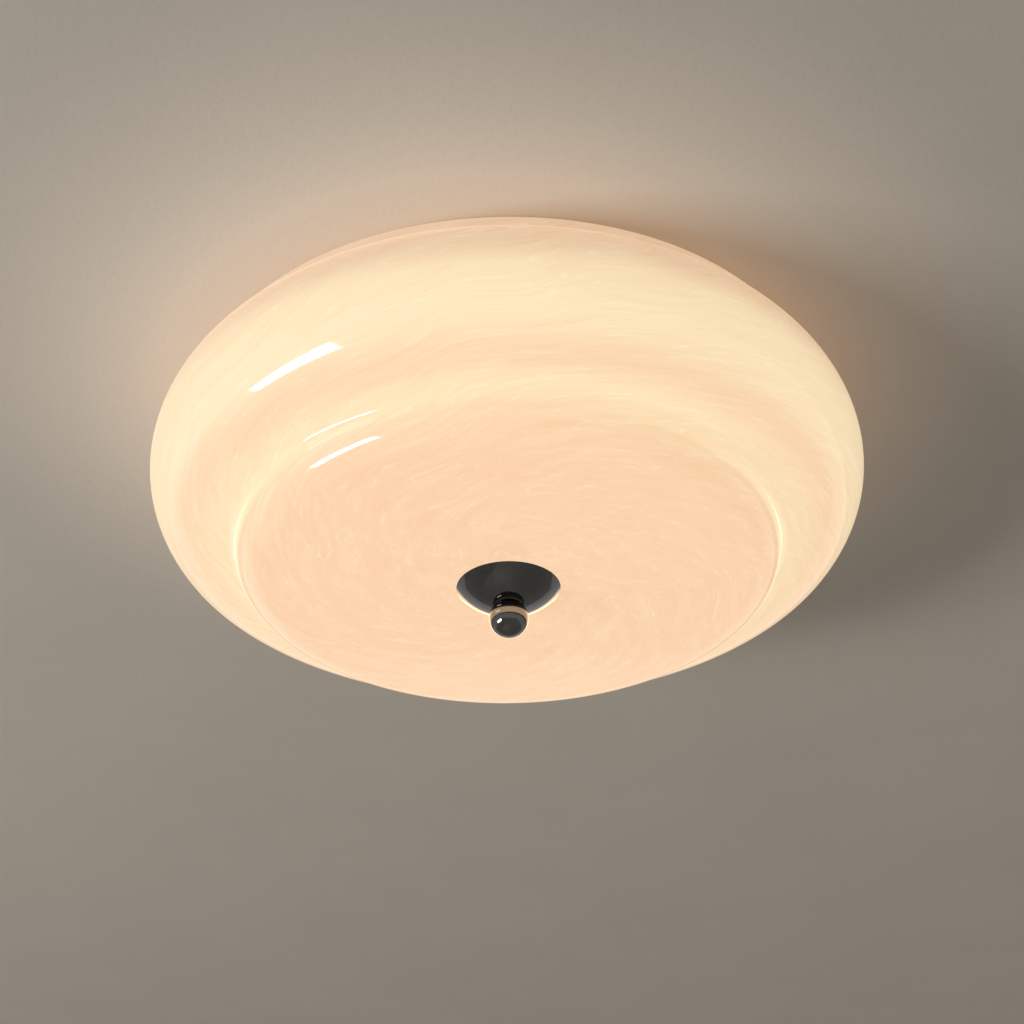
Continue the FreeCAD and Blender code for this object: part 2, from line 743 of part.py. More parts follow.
def make_shade_bush():
    """A silicone bush: its flange lies under the glass and its sleeve lines the hole."""
    body = new_body("shade_bush")
    sketch = new_sketch(body)
    sleeve = rod_hole + d.bush_wall
    foot = -shade_depth - d.bush_flange_height
    draw_outline(sketch, [
        (rod_hole, foot),
        (d.bush_flange_radius, foot),
        (d.bush_flange_radius, -shade_depth),
        (sleeve, -shade_depth),
        (sleeve, shade_floor - d.bush_sleeve_relief),
        (rod_hole, shade_floor - d.bush_sleeve_relief),
    ])
    turn(body, sketch)


def make_dish():
    """A pressed dish: a round dome with a flat seat in its middle and a hole for the rod."""
    body = new_body("dish")
    sketch = new_sketch(body)
    across = d.dish_radius * d.dish_radius - dish_seat_radius * dish_seat_radius
    centre = (across - d.dish_depth * d.dish_depth) / (d.dish_depth * 2)
    dome = root(centre * centre + d.dish_radius * d.dish_radius)
    inner_dome = dome - d.dish_sheet
    inner_edge = root(inner_dome * inner_dome - centre * centre)
    inner_seat = centre + d.dish_depth - d.dish_sheet
    inner_seat_radius = root(inner_dome * inner_dome - inner_seat * inner_seat)
    draw_outline(sketch, [
        (rod_hole, finial_seat),
        (dish_seat_radius, finial_seat, "left", dome),
        (d.dish_radius, -shade_depth),
        (inner_edge, -shade_depth, "right", inner_dome),
        (inner_seat_radius, finial_seat + d.dish_sheet),
        (rod_hole, finial_seat + d.dish_sheet),
    ])
    turn(body, sketch)


def make_finial():
    """A turned ball, cut flat where it bears on the dish, with a blind threaded hole."""
    body = new_body("finial")
    sketch = new_sketch(body)
    bore = d.rod_radius + d.thread_fit
    bore_end = rod_end - d.bore_end_gap
    middle = finial_seat - d.ball_level
    seat_edge = root(d.ball_radius * d.ball_radius - d.ball_level * d.ball_level)
    draw_outline(sketch, [
        (bore, finial_seat),
        (bore, bore_end),
        (0, bore_end),
        (0, middle - d.ball_radius, "left", d.ball_radius),
        (d.ball_radius, middle, "left", d.ball_radius),
        (seat_edge, finial_seat),
    ])
    turn(body, sketch)


# LED board

def make_led_board():
    body = new_body("led_board")
    sketch = new_sketch(body, "XY_Plane", board_face)
    draw_circle(sketch, 0, 0, board_outer_radius)
    draw_circle(sketch, 0, 0, d.board_inner_radius)
    pad(body, sketch, d.board_height)
    screw_hole = new_sketch(body, "XY_Plane", board_face)
    draw_circle(screw_hole, *first_board_screw(), d.board_screw_radius + d.board_screw_gap)
    ring_of(body, cut_through(body, screw_hole, d.board_height * 2), d.board_screw_count)


def led_rings():
    return [
        (d.inner_ring_radius, d.inner_ring_count),
        (outer_ring_radius, d.outer_ring_count),
    ]


def make_led_packages():
    body = new_body("led_packages")
    for radius, count in led_rings():
        sketch = new_sketch(body, "XY_Plane", board_face - d.package_height)
        draw_rectangle(sketch, radius, as_size(0), d.package_width, d.package_length)
        ring_of(body, pad(body, sketch, d.package_height), count)


def make_led_lenses():
    """A clear lens over each LED, hollow where it goes over the package."""
    body = new_body("led_lenses")
    dome_height = d.lens_height - d.lens_rim
    dome = (d.lens_radius * d.lens_radius + dome_height * dome_height) / (2 * dome_height)
    for radius, count in led_rings():
        sketch = new_sketch(body)
        draw_outline(sketch, [
            (radius, board_face - d.lens_pocket_height),
            (radius, board_face - d.lens_height, "left", dome),
            (radius + d.lens_radius, board_face - d.lens_rim),
            (radius + d.lens_radius, board_face),
            (radius + d.lens_pocket_radius, board_face),
            (radius + d.lens_pocket_radius, board_face - d.lens_pocket_height),
        ])
        draw_axis(sketch, radius)
        ring_of(body, turn(body, sketch, "Axis0"), count)


def make_board_screws():
    """Screws up through the board and the pan: the heads are under the board."""
    body = new_body("board_screws")
    turned = FreeCAD.Rotation(FreeCAD.Vector(0, 0, 1), BOARD_SCREW_TURN)
    body.Placement = FreeCAD.Placement(FreeCAD.Vector(), turned)
    middle = board_screw_circle
    sketch = new_sketch(body)
    soft = d.board_screw_head_height * HEAD_ROUNDING
    foot = board_face - d.board_screw_head_height
    top = pan_floor + d.board_screw_reach
    draw_outline(sketch, [
        (middle, foot),
        (middle + d.board_screw_head - soft, foot, "left", soft),
        (middle + d.board_screw_head, foot + soft),
        (middle + d.board_screw_head, board_face),
        (middle + d.board_screw_radius, board_face),
        (middle + d.board_screw_radius, top),
        (middle, top),
    ])
    draw_axis(sketch, middle)
    ring_of(body, turn(body, sketch, "Axis0"), d.board_screw_count)


HEAD_ROUNDING = 0.8


def make_led_connector():
    """The block that takes the two leads, under the board, with an entry for each lead."""
    body = new_body("led_connector")
    sketch = new_sketch(body, "XY_Plane", board_face - d.connector_height)
    draw_rectangle(sketch, as_size(0), d.connector_distance, d.connector_length, d.connector_width)
    block = pad(body, sketch, d.connector_height)
    rounded(body, block, d.connector_height * CONNECTOR_ROUNDING, is_upright)


CONNECTOR_ROUNDING = 0.15


# LED driver

def driver_floor():
    return pan_floor + d.driver_base_height


def make_driver_base():
    body = new_body("driver_base", d.driver_x, d.driver_y)
    sketch = new_sketch(body, "XY_Plane", pan_floor)
    draw_rectangle(sketch, as_size(0), as_size(0), d.driver_length + d.driver_ear * 2, d.driver_width)
    plate = pad(body, sketch, d.driver_base_height)
    rounded(body, plate, d.driver_corner, is_upright)
    posts = new_sketch(body, "XY_Plane", driver_floor())
    for x, y in driver_post_places():
        draw_circle(posts, x, y, d.driver_post_radius)
    pad(body, posts, d.driver_post_height)
    holes = new_sketch(body, "XY_Plane", pan_floor)
    for side in (-1, 1):
        draw_circle(holes, (d.driver_length + d.driver_ear) * side / 2, 0, d.fixing_radius + d.fixing_gap)
    cut_through(body, holes, d.driver_base_height * 2)


def driver_post_places():
    x = d.driver_length / 2 - d.driver_wall - d.circuit_gap - d.driver_post_radius * 2
    y = d.driver_width / 2 - d.driver_wall - d.circuit_gap - d.driver_post_radius * 2
    return [(x, y), (-x, y), (-x, -y), (x, -y)]


def make_driver_case():
    """A moulded cover, open below, with a lead hole in each end."""
    body = new_body("driver_case", d.driver_x, d.driver_y)
    sketch = new_sketch(body, "XY_Plane", driver_floor())
    draw_rectangle(sketch, as_size(0), as_size(0), d.driver_length, d.driver_width)
    block = pad(body, sketch, d.driver_height)
    rounded(body, block, d.driver_corner, is_upright)
    hollow = new_sketch(body, "XY_Plane", driver_floor())
    inside = d.driver_wall * 2
    draw_rectangle(hollow, as_size(0), as_size(0), d.driver_length - inside, d.driver_width - inside)
    cut_through(body, hollow, d.driver_height - d.driver_wall)
    for side in (-1, 1):
        entry = new_sketch(body, "YZ_Plane", d.driver_length * side / 2)
        for offset in (-d.lead_offset, d.lead_offset):
            draw_circle(entry, offset * ENTRY_SPREAD, pan_floor + d.lead_level, d.lead_radius + LEAD_SLACK)
        cut_through(body, entry, d.driver_wall * ENTRY_CUT_SHARE)


ENTRY_SPREAD = 1.6
ENTRY_CUT_SHARE = 1.5
LEAD_SLACK = 0.1


def circuit_top():
    return driver_floor() + d.driver_post_height + d.circuit_height


def make_driver_circuit():
    body = new_body("driver_circuit_board", d.driver_x, d.driver_y)
    sketch = new_sketch(body, "XY_Plane", circuit_top() - d.circuit_height)
    margin = (d.driver_wall + d.circuit_gap) * 2
    draw_rectangle(sketch, as_size(0), as_size(0), d.driver_length - margin, d.driver_width - margin)
    pad(body, sketch, d.circuit_height)


def make_driver_parts():
    """Transformer, choke, capacitors and a rectifier, each standing on the circuit board."""
    body = new_body("driver_parts", d.driver_x, d.driver_y)
    for share_x, share_y, length, width, height in DRIVER_BLOCKS:
        sketch = new_sketch(body, "XY_Plane", circuit_top())
        draw_rectangle(sketch, d.driver_length * share_x, d.driver_width * share_y, as_size(length), as_size(width))
        pad(body, sketch, as_size(height))
    for share_x, share_y, radius, height in DRIVER_CANS:
        sketch = new_sketch(body, "XY_Plane", circuit_top())
        draw_circle(sketch, d.driver_length * share_x, d.driver_width * share_y, as_size(radius))
        pad(body, sketch, as_size(height))


# Place as a share of the driver's length and width, then length, width and height
DRIVER_BLOCKS = [
    (0.04, 0.02, 19, 20, 14),
    (-0.18, -0.18, 12, 7, 10),
    (0.25, -0.22, 10, 6, 7),
]
# Place as a share of the driver's length and width, then radius and height
DRIVER_CANS = [
    (-0.34, 0.12, 5, 15),
    (0.33, 0.14, 4, 12),
    (-0.18, 0.2, 3.5, 9),
]


# Terminal block, earth tag and fixing screws

def make_terminal_block():
    body = new_body("terminal_block", d.terminal_x, d.terminal_y)
    length = d.terminal_pitch * POLES
    sketch = new_sketch(body, "XY_Plane", pan_floor)
    draw_rectangle(sketch, as_size(0), as_size(0), length, d.terminal_width)
    pad(body, sketch, d.terminal_height)
    bores = new_sketch(body, "XZ_Plane")
    for pole in pole_places():
        draw_circle(bores, pole, pan_floor + d.terminal_wire_level, d.insert_radius + d.nut_fit)
    cut_through(body, bores, d.terminal_width)
    wells = new_sketch(body, "XY_Plane", pan_floor + d.terminal_height)
    for x, y in clamp_screw_places():
        draw_circle(wells, x, y, d.clamp_screw_radius + d.fixing_gap)
    cut_through(body, wells, d.terminal_height - d.terminal_wire_level)
    fixing = new_sketch(body, "XY_Plane", pan_floor)
    draw_circle(fixing, d.terminal_pitch / 2, 0, d.fixing_radius + d.fixing_gap)
    cut_through(body, fixing, d.terminal_height)


POLES = 3


def pole_places():
    return [d.terminal_pitch * step for step in (-1, 0, 1)]


def clamp_screw_places():
    half = d.clamp_screw_spacing / 2
    return [(pole, side) for pole in pole_places() for side in (-half, half)]


def make_terminal_inserts():
    body = new_body("terminal_inserts", d.terminal_x, d.terminal_y)
    sketch = new_sketch(body, "XZ_Plane")
    for pole in pole_places():
        draw_circle(sketch, pole, pan_floor + d.terminal_wire_level, d.insert_radius)
        draw_circle(sketch, pole, pan_floor + d.terminal_wire_level, d.insert_bore_radius)
    pad(body, sketch, d.insert_length, midplane=True)


def make_clamp_screws():
    """Two screws for each pole, standing on its insert."""
    body = new_body("terminal_screws", d.terminal_x, d.terminal_y)
    foot = pan_floor + d.terminal_wire_level + d.insert_radius
    top = pan_floor + d.terminal_height - d.clamp_screw_sink
    sketch = new_sketch(body, "XY_Plane", foot)
    for x, y in clamp_screw_places():
        draw_circle(sketch, x, y, d.clamp_screw_radius)
    pad(body, sketch, top - foot)


def make_earth_tag():
    """A ring tag under the earth screw, with a crimp barrel for the earth lead."""
    body = new_body("earth_tag", d.earth_x, d.earth_y)
    sketch = new_sketch(body, "XY_Plane", pan_floor)
    draw_circle(sketch, 0, 0, d.earth_tag_radius)
    draw_circle(sketch, 0, 0, d.fixing_radius + d.fixing_gap)
    pad(body, sketch, d.earth_tag_sheet)
    barrel = new_sketch(body, "XZ_Plane", -d.earth_tag_radius * BARREL_START)
    draw_circle(barrel, 0, barrel_level(), d.earth_barrel_radius)
    pad(body, barrel, d.earth_barrel_length, reverse=True)
    bore = new_sketch(body, "XZ_Plane", -d.earth_tag_radius * BARREL_START - d.earth_barrel_length)
    draw_circle(bore, 0, barrel_level(), d.lead_radius + LEAD_SLACK)
    cut_through(body, bore, d.earth_barrel_length * BARREL_BORE_SHARE)


BARREL_START = 0.9
BARREL_BORE_SHARE = 0.6


def barrel_level():
    return pan_floor + d.earth_barrel_lift + d.earth_barrel_radius


def make_fixing_screws():
    """Screws that hold the driver, and the terminal block and earth tag."""
    body = new_body("driver_screws", d.driver_x, d.driver_y)
    middle = (d.driver_length + d.driver_ear) / 2
    seat = driver_floor()
    sketch = new_sketch(body)
    draw_outline(sketch, [
        (middle, -d.pan_depth),
        (middle + d.fixing_radius, -d.pan_depth),
        (middle + d.fixing_radius, seat),
        (middle + d.fixing_head_radius, seat),
        (middle + d.fixing_head_radius, seat + d.fixing_head_height),
        (middle, seat + d.fixing_head_height),
    ])
    draw_axis(sketch, middle)
    ring_of(body, turn(body, sketch, "Axis0"), PAIR)


# Leads inside the pan

def make_lead(label, route):
    """A lead along straight runs joined by arcs as large as the shorter run next to each allows."""
    points = [FreeCAD.Vector(*[as_size(value).value for value in point]) for point in route]
    edges = []
    start = points[0]
    for before, corner, after in zip(points, points[1:], points[2:]):
        way_in = (corner - before).normalize()
        way_out = (after - corner).normalize()
        back = ARC_SHARE * min((corner - before).Length, (after - corner).Length)
        first = corner - way_in * back
        last = corner + way_out * back
        half_turn = way_in.getAngle(way_out) / 2
        radius = back / math.tan(half_turn)
        inward = (way_out - way_in).normalize()
        centre = corner + inward * (radius / math.cos(half_turn))
        middle = centre - inward * radius
        edges.append(Part.LineSegment(start, first).toShape())
        edges.append(Part.Arc(first, middle, last).toShape())
        start = last
        print(f"{label}: arc radius {radius:.1f} mm")
    edges.append(Part.LineSegment(start, points[-1]).toShape())
    path = Part.Wire(edges)
    ring = Part.Wire(Part.makeCircle(d.lead_radius.value, points[0], points[1] - points[0]))
    tube = path.makePipeShell([ring], True, False)
    expected = math.pi * d.lead_radius.value ** 2 * path.Length
    if abs(tube.Volume / expected - 1) > PIPE_TOLERANCE:
        raise RuntimeError(f"{label}: the tube's volume is {tube.Volume:.1f}, not {expected:.1f}")
    feature = document.addObject("Part::Feature", label)
    feature.Label = label
    feature.Shape = tube
    feature.Placement = FreeCAD.Placement()
    parts.append(feature)


ARC_SHARE = 0.45
PIPE_TOLERANCE = 0.01


def make_leads():
    """Mains leads from the terminal block to the driver, and LED leads from the driver to the board."""
    level = pan_floor + d.lead_level
    entry = d.lead_offset * ENTRY_SPREAD
    wire_level = pan_floor + d.terminal_wire_level
    block_face = d.terminal_y + d.terminal_width / 2
    inside_block = block_face - LEAD_IN_BLOCK
    left_end = d.driver_x - d.driver_length / 2
    right_end = d.driver_x + d.driver_length / 2
    for label, pole, side, bow in (("live_lead", -1, -1, d.live_bow), ("neutral_lead", 0, 1, d.neutral_bow)):
        x = d.terminal_x + d.terminal_pitch * pole
        entry_y = d.driver_y - entry * side
        make_lead(label, [
            (x, inside_block, wire_level),
            (x, block_face + d.mains_run_out, wire_level + LEAD_RISE),
            (left_end - bow + d.bow_ease, d.driver_y * BOW_START, level + LEAD_RISE * 2),
            (left_end - bow, d.driver_y * BOW_END, level + LEAD_RISE),
            (left_end - bow * BOW_TURN, entry_y, level),
            (left_end, entry_y, level),
        ])
    earth = d.terminal_x + d.terminal_pitch
    tag_mouth = d.earth_y + d.earth_tag_radius * BARREL_START + d.earth_barrel_length
    tag_level = barrel_level()
    make_lead("earth_lead", [
        (earth, inside_block, wire_level),
        (earth, block_face + d.earth_run_out, wire_level),
        (earth + d.earth_bow, block_face + d.earth_bow_out, wire_level - LEAD_RISE),
        (d.earth_x - d.earth_bow, tag_mouth + d.earth_bow_back, tag_level + LEAD_STACK),
        (d.earth_x, tag_mouth + d.earth_run_in, tag_level),
        (d.earth_x, tag_mouth - d.earth_lead_grip, tag_level),
    ])
    connector_face = d.connector_distance - d.connector_width / 2
    under = board_face - d.connector_height / 2
    for label, side, rise in (("led_positive_lead", 1, 0), ("led_negative_lead", -1, LEAD_STACK)):
        x = d.lead_offset * side
        entry_y = d.driver_y - entry * side
        shift = d.lead_radius * side
        make_lead(label, [
            (right_end, entry_y, level),
            (right_end + d.led_bow - shift * 2, entry_y, level),
            (right_end + d.led_bow - shift * 3, entry_y - d.led_run_back, level + rise),
            (d.grommet_distance, d.grommet_distance + d.led_run_in, level + LEAD_RISE + rise),
            (x, d.grommet_distance, level + rise),
            (x, d.grommet_distance, under),
            (x, connector_face, under),
        ])


BOW_START = 0.1
BOW_END = 0.6
BOW_TURN = 0.7
LEAD_RISE = 1
LEAD_IN_BLOCK = 4
LEAD_STACK = 3


def make_all():
    make_crossbar()
    make_long_screws()
    make_long_screw_nuts()
    make_base_pan()
    make_pan_washers()
    make_domed_nuts()
    make_rod_group()
    make_lead_grommet()
    make_led_board()
    make_led_packages()
    make_led_lenses()
    make_board_screws()
    make_led_connector()
    make_driver_base()
    make_driver_case()
    make_driver_circuit()
    make_driver_parts()
    make_fixing_screws()
    make_terminal_block()
    make_terminal_inserts()
    make_clamp_screws()
    make_earth_tag()
    terminal_fixing_x = d.terminal_x + d.terminal_pitch / 2
    for label, x, y, seat in (
        ("terminal_fixing_screw", terminal_fixing_x, d.terminal_y, pan_floor + d.terminal_height),
        ("earth_screw", d.earth_x, d.earth_y, pan_floor + d.earth_tag_sheet),
    ):
        standing_screw(label, x, y, seat, d.fixing_head_radius, d.fixing_head_height,
                       d.fixing_radius, seat + d.pan_depth)
    make_leads()
    make_glass_shade()
    make_shade_bush()
    make_dish()
    ring_piece("dish_spacer", rod_hole, dish_seat_radius - d.spacer_gap,
               -shade_depth - d.bush_flange_height, finial_seat + d.dish_sheet)
    make_finial()


def check_and_write():
    document.recompute()
    for item in document.Objects:
        if "Invalid" in item.State or "Error" in item.State:
            raise RuntimeError(f"{item.Label}: {item.State}")
    for part in parts:
        if part.Shape.isNull() or not part.Shape.isValid():
            raise RuntimeError(f"{part.Label}: its shape is not valid")
    os.makedirs("parts", exist_ok=True)
    for part in parts:
        part.Shape.exportStep(f"parts/{part.Label}.step")
        print(f"{part.Label}: {len(part.Shape.Solids)} solid(s), {part.Shape.Volume:.0f} cubic mm")


document = FreeCAD.newDocument("ceiling_light")
parts = []
d = Sizes(DRIVING_SIZES)
make_sheet()

# The glass: radii in from its widest part, and levels down from the ceiling
rim_radius = d.belly_radius - d.rim_inset
pole_radius = d.belly_radius - d.belly_pole_inset
tier_radius = d.belly_radius - d.tier_inset
pole_reach = d.belly_pole_inset
end_arc = d.belly_pole_inset - d.belly_arc_inset
fillet_reach = end_arc + d.shade_collar_fillet
fillet_across = rim_radius + d.shade_collar_fillet - pole_radius
fillet_up = root(fillet_reach * fillet_reach - fillet_across * fillet_across)
fillet_level = d.shade_rim_gap + d.shade_wall / 2 + d.shade_collar_height
belly_level = fillet_level + fillet_up + d.belly_side_height
belly_foot = belly_level + d.belly_side_height + end_arc
shade_depth = belly_foot + d.groove_arc + d.tier_wall_height + d.tier_arc + d.shade_bottom_rise
shade_floor = d.shade_wall - shade_depth

# The pan and what is screwed to it
pan_flange_radius = rim_radius - d.shade_wall - d.pan_rim_gap
pan_radius = pan_flange_radius - d.pan_flange_width
pan_floor = d.pan_sheet - d.pan_depth
stud_middle = pan_radius - d.stud_inset
nut_seat = -d.pan_depth - d.cap_washer_height
board_face = -d.pan_depth - d.board_height
board_outer_radius = pan_radius - d.board_margin
outer_ring_radius = board_outer_radius - d.outer_ring_inset
board_screw_circle = outer_ring_radius - d.board_screw_inset

# The rod and what it holds
rod_hole = d.rod_radius + d.loose_fit
shade_hole_radius = rod_hole + d.bush_wall + d.bush_sleeve_gap
dish_seat_radius = rod_hole + d.dish_seat_width
finial_seat = -shade_depth - d.dish_depth
rod_end = finial_seat - d.thread_grip

make_all()
check_and_write()
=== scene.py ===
import json
import math

import bmesh
import bpy
from bpy.props import FloatProperty, FloatVectorProperty, PointerProperty
from mathutils import Matrix, Vector

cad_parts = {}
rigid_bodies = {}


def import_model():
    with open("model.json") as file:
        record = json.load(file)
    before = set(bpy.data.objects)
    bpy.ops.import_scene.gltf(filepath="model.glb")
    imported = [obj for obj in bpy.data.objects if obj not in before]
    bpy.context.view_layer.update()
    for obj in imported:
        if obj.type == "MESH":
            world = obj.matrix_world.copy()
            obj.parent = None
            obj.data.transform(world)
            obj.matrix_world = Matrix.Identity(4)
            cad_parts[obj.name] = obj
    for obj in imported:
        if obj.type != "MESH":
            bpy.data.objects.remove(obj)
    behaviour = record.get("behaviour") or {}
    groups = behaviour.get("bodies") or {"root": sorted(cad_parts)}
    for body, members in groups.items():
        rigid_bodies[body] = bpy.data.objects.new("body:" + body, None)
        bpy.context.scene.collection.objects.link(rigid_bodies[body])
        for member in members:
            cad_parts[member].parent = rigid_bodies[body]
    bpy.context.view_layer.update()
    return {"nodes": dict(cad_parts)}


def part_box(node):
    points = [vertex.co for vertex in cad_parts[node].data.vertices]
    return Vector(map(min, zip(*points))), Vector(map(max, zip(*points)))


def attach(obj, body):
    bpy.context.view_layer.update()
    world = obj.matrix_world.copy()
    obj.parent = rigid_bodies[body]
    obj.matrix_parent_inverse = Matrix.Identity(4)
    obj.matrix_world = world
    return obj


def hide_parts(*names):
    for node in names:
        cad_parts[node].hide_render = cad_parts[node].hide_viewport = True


bl_info = {
    "name": "Flush Mount Ceiling Light",
    "version": (1, 0, 0),
    "blender": (4, 5, 0),
    "location": "View3D > Sidebar > Ceiling Light",
    "description": "A lit cloud glass shade on a steel pan, with a black nickel dish and finial",
    "category": "Object",
}

for leftover in list(bpy.data.objects):
    bpy.data.objects.remove(leftover)

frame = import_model()

MM = 0.001
MERGE = 1e-6
SHARP = math.radians(35)
GLASS_STEPS = 240
DISH_STEPS = 128
FINIAL_STEPS = 96
THREAD_STEPS = 32
PICTURE = 1024
SENSOR = 36
CEILING_HALF = 2.2
FLOOR_HALF = 4.5
FLOOR_LEVEL = -2.4
LAMP_PLACE = (-1.95, -0.828, -1.127)
LAMP_AIM = (0, 0, -0.07)
LAMP_WIDTH = 1.2
LAMP_HEIGHT = 0.42


# Settings that a user would change

def length(name, description, millimetres):
    return FloatProperty(name=name, description=description, default=millimetres * MM,
                         unit="LENGTH", subtype="DISTANCE", precision=5)


def share(name, description, value):
    return FloatProperty(name=name, description=description, default=value,
                         min=0.0, max=1.0, subtype="FACTOR")


def amount(name, description, value):
    return FloatProperty(name=name, description=description, default=value)


def turn_angle(name, description, degrees):
    return FloatProperty(name=name, description=description, default=math.radians(degrees),
                         unit="ROTATION", subtype="ANGLE", precision=5)


def colour(name, description, value):
    return FloatVectorProperty(name=name, description=description, default=value,
                               subtype="COLOR", size=3, min=0.0, max=1.0)


class GlassSettings(bpy.types.PropertyGroup):
    rim_radius: length("Rim radius", "Outside of the glass at its rim", 178)
    rim_gap: length("Rim gap", "Ceiling down to the rim", 1.5)
    wall: length("Wall", "Thickness of the glass", 3.5)
    collar_fillet: length("Collar fillet", "Fillet between the collar and the shoulder", 4)
    belly_radius: length("Belly radius", "Outside of the glass at its widest", 199.95)
    belly_pole_radius: length("Belly pole radius", "Radius at which the belly ends level", 168.8)
    belly_level: length("Belly level", "Ceiling down to the widest part", 49)
    belly_half_height: length("Belly half height", "Widest part down to the underside", 40.3)
    belly_end_arc: length("Belly end arc", "Arc of the belly above and below its widest part", 26)
    tier_radius: length("Tier radius", "Outside of the lower tier", 150.3)
    tier_arc: length("Tier arc", "Corner arc of the lower tier", 16.6)
    groove_arc: length("Groove arc", "Fillet in the groove above the lower tier", 5.5)
    depth: length("Depth", "Ceiling down to the underside of the glass", 112.4)
    land_radius: length("Land radius", "Flat land round the hole", 34)
    bottom_rise: length("Bottom rise", "Rise of the underside from the land to the tier", 0.6)
    hole_radius: length("Hole radius", "Hole for the rod", 7)
    body_colour: colour("Opal colour", "Colour of the glass in plain light", (0.12, 0.105, 0.09))
    bottom_glow: colour("Bottom glow", "Light from the flat bottom", (0.885, 0.582, 0.352))
    edge_glow: colour("Tier glow", "Light from the corner of the lower tier", (0.90, 0.70, 0.43))
    groove_glow: colour("Groove glow", "Light from the groove above the tier", (0.885, 0.56, 0.337))
    belly_glow: colour("Belly glow", "Light from the belly", (0.905, 0.722, 0.45))
    collar_glow: colour("Collar glow", "Light from the collar", (0.71, 0.475, 0.305))
    flake_size: length("Flake size", "One flake of the cloud glass near the middle", 7)
    flake_contrast: share("Flake contrast", "How far the flakes stand out", 0.07)
    # painted reflection: how much brighter the glass's glow shows in the dish and the finial than on the
    # glass itself
    painted_reflection_boost: amount("Painted reflection boost", "How much brighter the underside shows in the dish and the finial", 2.8)


class MetalSettings(bpy.types.PropertyGroup):
    dish_radius: length("Dish radius", "Pressed dish", 28.65)
    dish_depth: length("Dish depth", "Glass down to the flat seat of the dish", 11.8)
    dish_sheet: length("Dish sheet", "Sheet metal of the dish", 1)
    dish_seat_radius: length("Dish seat", "Flat seat in the middle of the dish", 8)
    dish_hole_radius: length("Dish hole", "Hole for the rod", 5.28)
    ball_radius: length("Ball radius", "Ball of the finial", 10.78)
    ball_level: length("Ball level", "Seat of the finial down to the middle of its ball", 7.1)
    finial_bore_radius: length("Finial bore", "Threaded hole", 5.0)
    finial_bore_depth: length("Finial bore depth", "Threaded hole", 13.5)
    nickel_colour: colour("Black nickel", "Colour of the plated metal", (0.10, 0.097, 0.092))
    nickel_roughness: share("Black nickel roughness", "Gloss of the plated metal", 0.07)
    thread_pitch: length("Thread pitch", "Thread of the hollow rod", 1)
    thread_depth: length("Thread depth", "Thread of the hollow rod", 0.6)
    rod_bore_radius: length("Rod bore", "Bore of the hollow rod", 3.75)


class RoomSettings(bpy.types.PropertyGroup):
    camera_distance: length("Camera distance", "Camera to the middle of the ceiling plane", 1051.5)
    camera_elevation: turn_angle("Camera elevation", "How steeply the camera looks up", 36.18)
    camera_roll: turn_angle("Camera roll", "Turn of the picture", -0.67)
    camera_lens: amount("Lens", "Focal length in millimetres on a 36 mm sensor", 63.281)
    centre_across: amount("Centre across", "Middle of the ceiling plane, in pixels from the left", 506.6)
    centre_down: amount("Centre down", "Middle of the ceiling plane, in pixels from the top", 423.15)
    ceiling_colour: colour("Ceiling", "Painted ceiling", (0.352, 0.316, 0.269))
    # painted light: the ceiling colour close to the light fitting, a painted pool of its warm glow
    painted_glow_ceiling_colour: colour("Painted glow on ceiling", "Painted glow of the light on the ceiling", (0.60, 0.52, 0.435))
    floor_colour: colour("Floor", "Plain floor", (0.72, 0.71, 0.69))
    world_colour: colour("Surroundings", "Plain light from all round", (0.80, 0.80, 0.80))
    world_strength: amount("Surroundings strength", "Plain light from all round", 0.75)
    key_power: amount("Main lamp", "Power of the soft lamp on the left, in watts", 45)


# Outlines, revolved pieces and meshes

class Outline:
    """A line of straight runs and arcs in the XZ plane, drawn by extruding and spinning its last vertex."""

    STEP = math.radians(4)
    FEWEST = 4
    MISS = 1e-5

    def __init__(self, bm, x, z):
        self.bm = bm
        self.tip = bm.verts.new((x, 0, z))

    def run_to(self, x, z):
        made = bmesh.ops.extrude_vert_indiv(self.bm, verts=[self.tip])
        self.tip = made["verts"][0]
        self.tip.co = (x, 0, z)

    def arc_to(self, x, z, side, radius):
        start = Vector((self.tip.co.x, self.tip.co.z))
        end = Vector((x, z))
        chord = end - start
        reach = math.sqrt(max(radius ** 2 - (chord.length / 2) ** 2, 0.0))
        left = Vector((-chord.y, chord.x)).normalized()
        sign = 1 if side == "left" else -1
        centre = (start + end) / 2 + left * reach * sign
        angle = 2 * math.asin(min(chord.length / 2 / radius, 1.0))
        steps = max(self.FEWEST, math.ceil(angle / self.STEP))
        made = bmesh.ops.spin(self.bm, geom=[self.tip], cent=(centre.x, 0, centre.y), axis=(0, -sign, 0),
                              dvec=(0, 0, 0), angle=angle, steps=steps, use_merge=False,
                              use_normal_flip=False, use_duplicate=False)
        self.tip = made["geom_last"][0]
        if (Vector((self.tip.co.x, self.tip.co.z)) - end).length > self.MISS:
            raise RuntimeError("an arc of the outline doesn't reach its end")

    def draw(self, corners, closed=False):
        """Each corner is (x, z), or (x, z, side, radius) where an arc leads on to the next corner."""
        ends = list(corners[1:]) + ([corners[0]] if closed else [])
        for corner, end in zip(corners, ends):
            if len(corner) > 2:
                self.arc_to(end[0], end[1], corner[2], corner[3])
            else:
                self.run_to(end[0], end[1])


def backwards(corners):
    """The same outline taken the other way: each arc belongs to its other end and turns the other way."""
    taken = []
    last = len(corners) - 1
    for place in range(last, -1, -1):
        x, z = corners[place][:2]
        before = corners[place - 1] if place > 0 else ()
        if len(before) > 2:
            other = "left" if before[2] == "right" else "right"
            taken.append((x, z, other, before[3]))
        else:
            taken.append((x, z))
    return taken


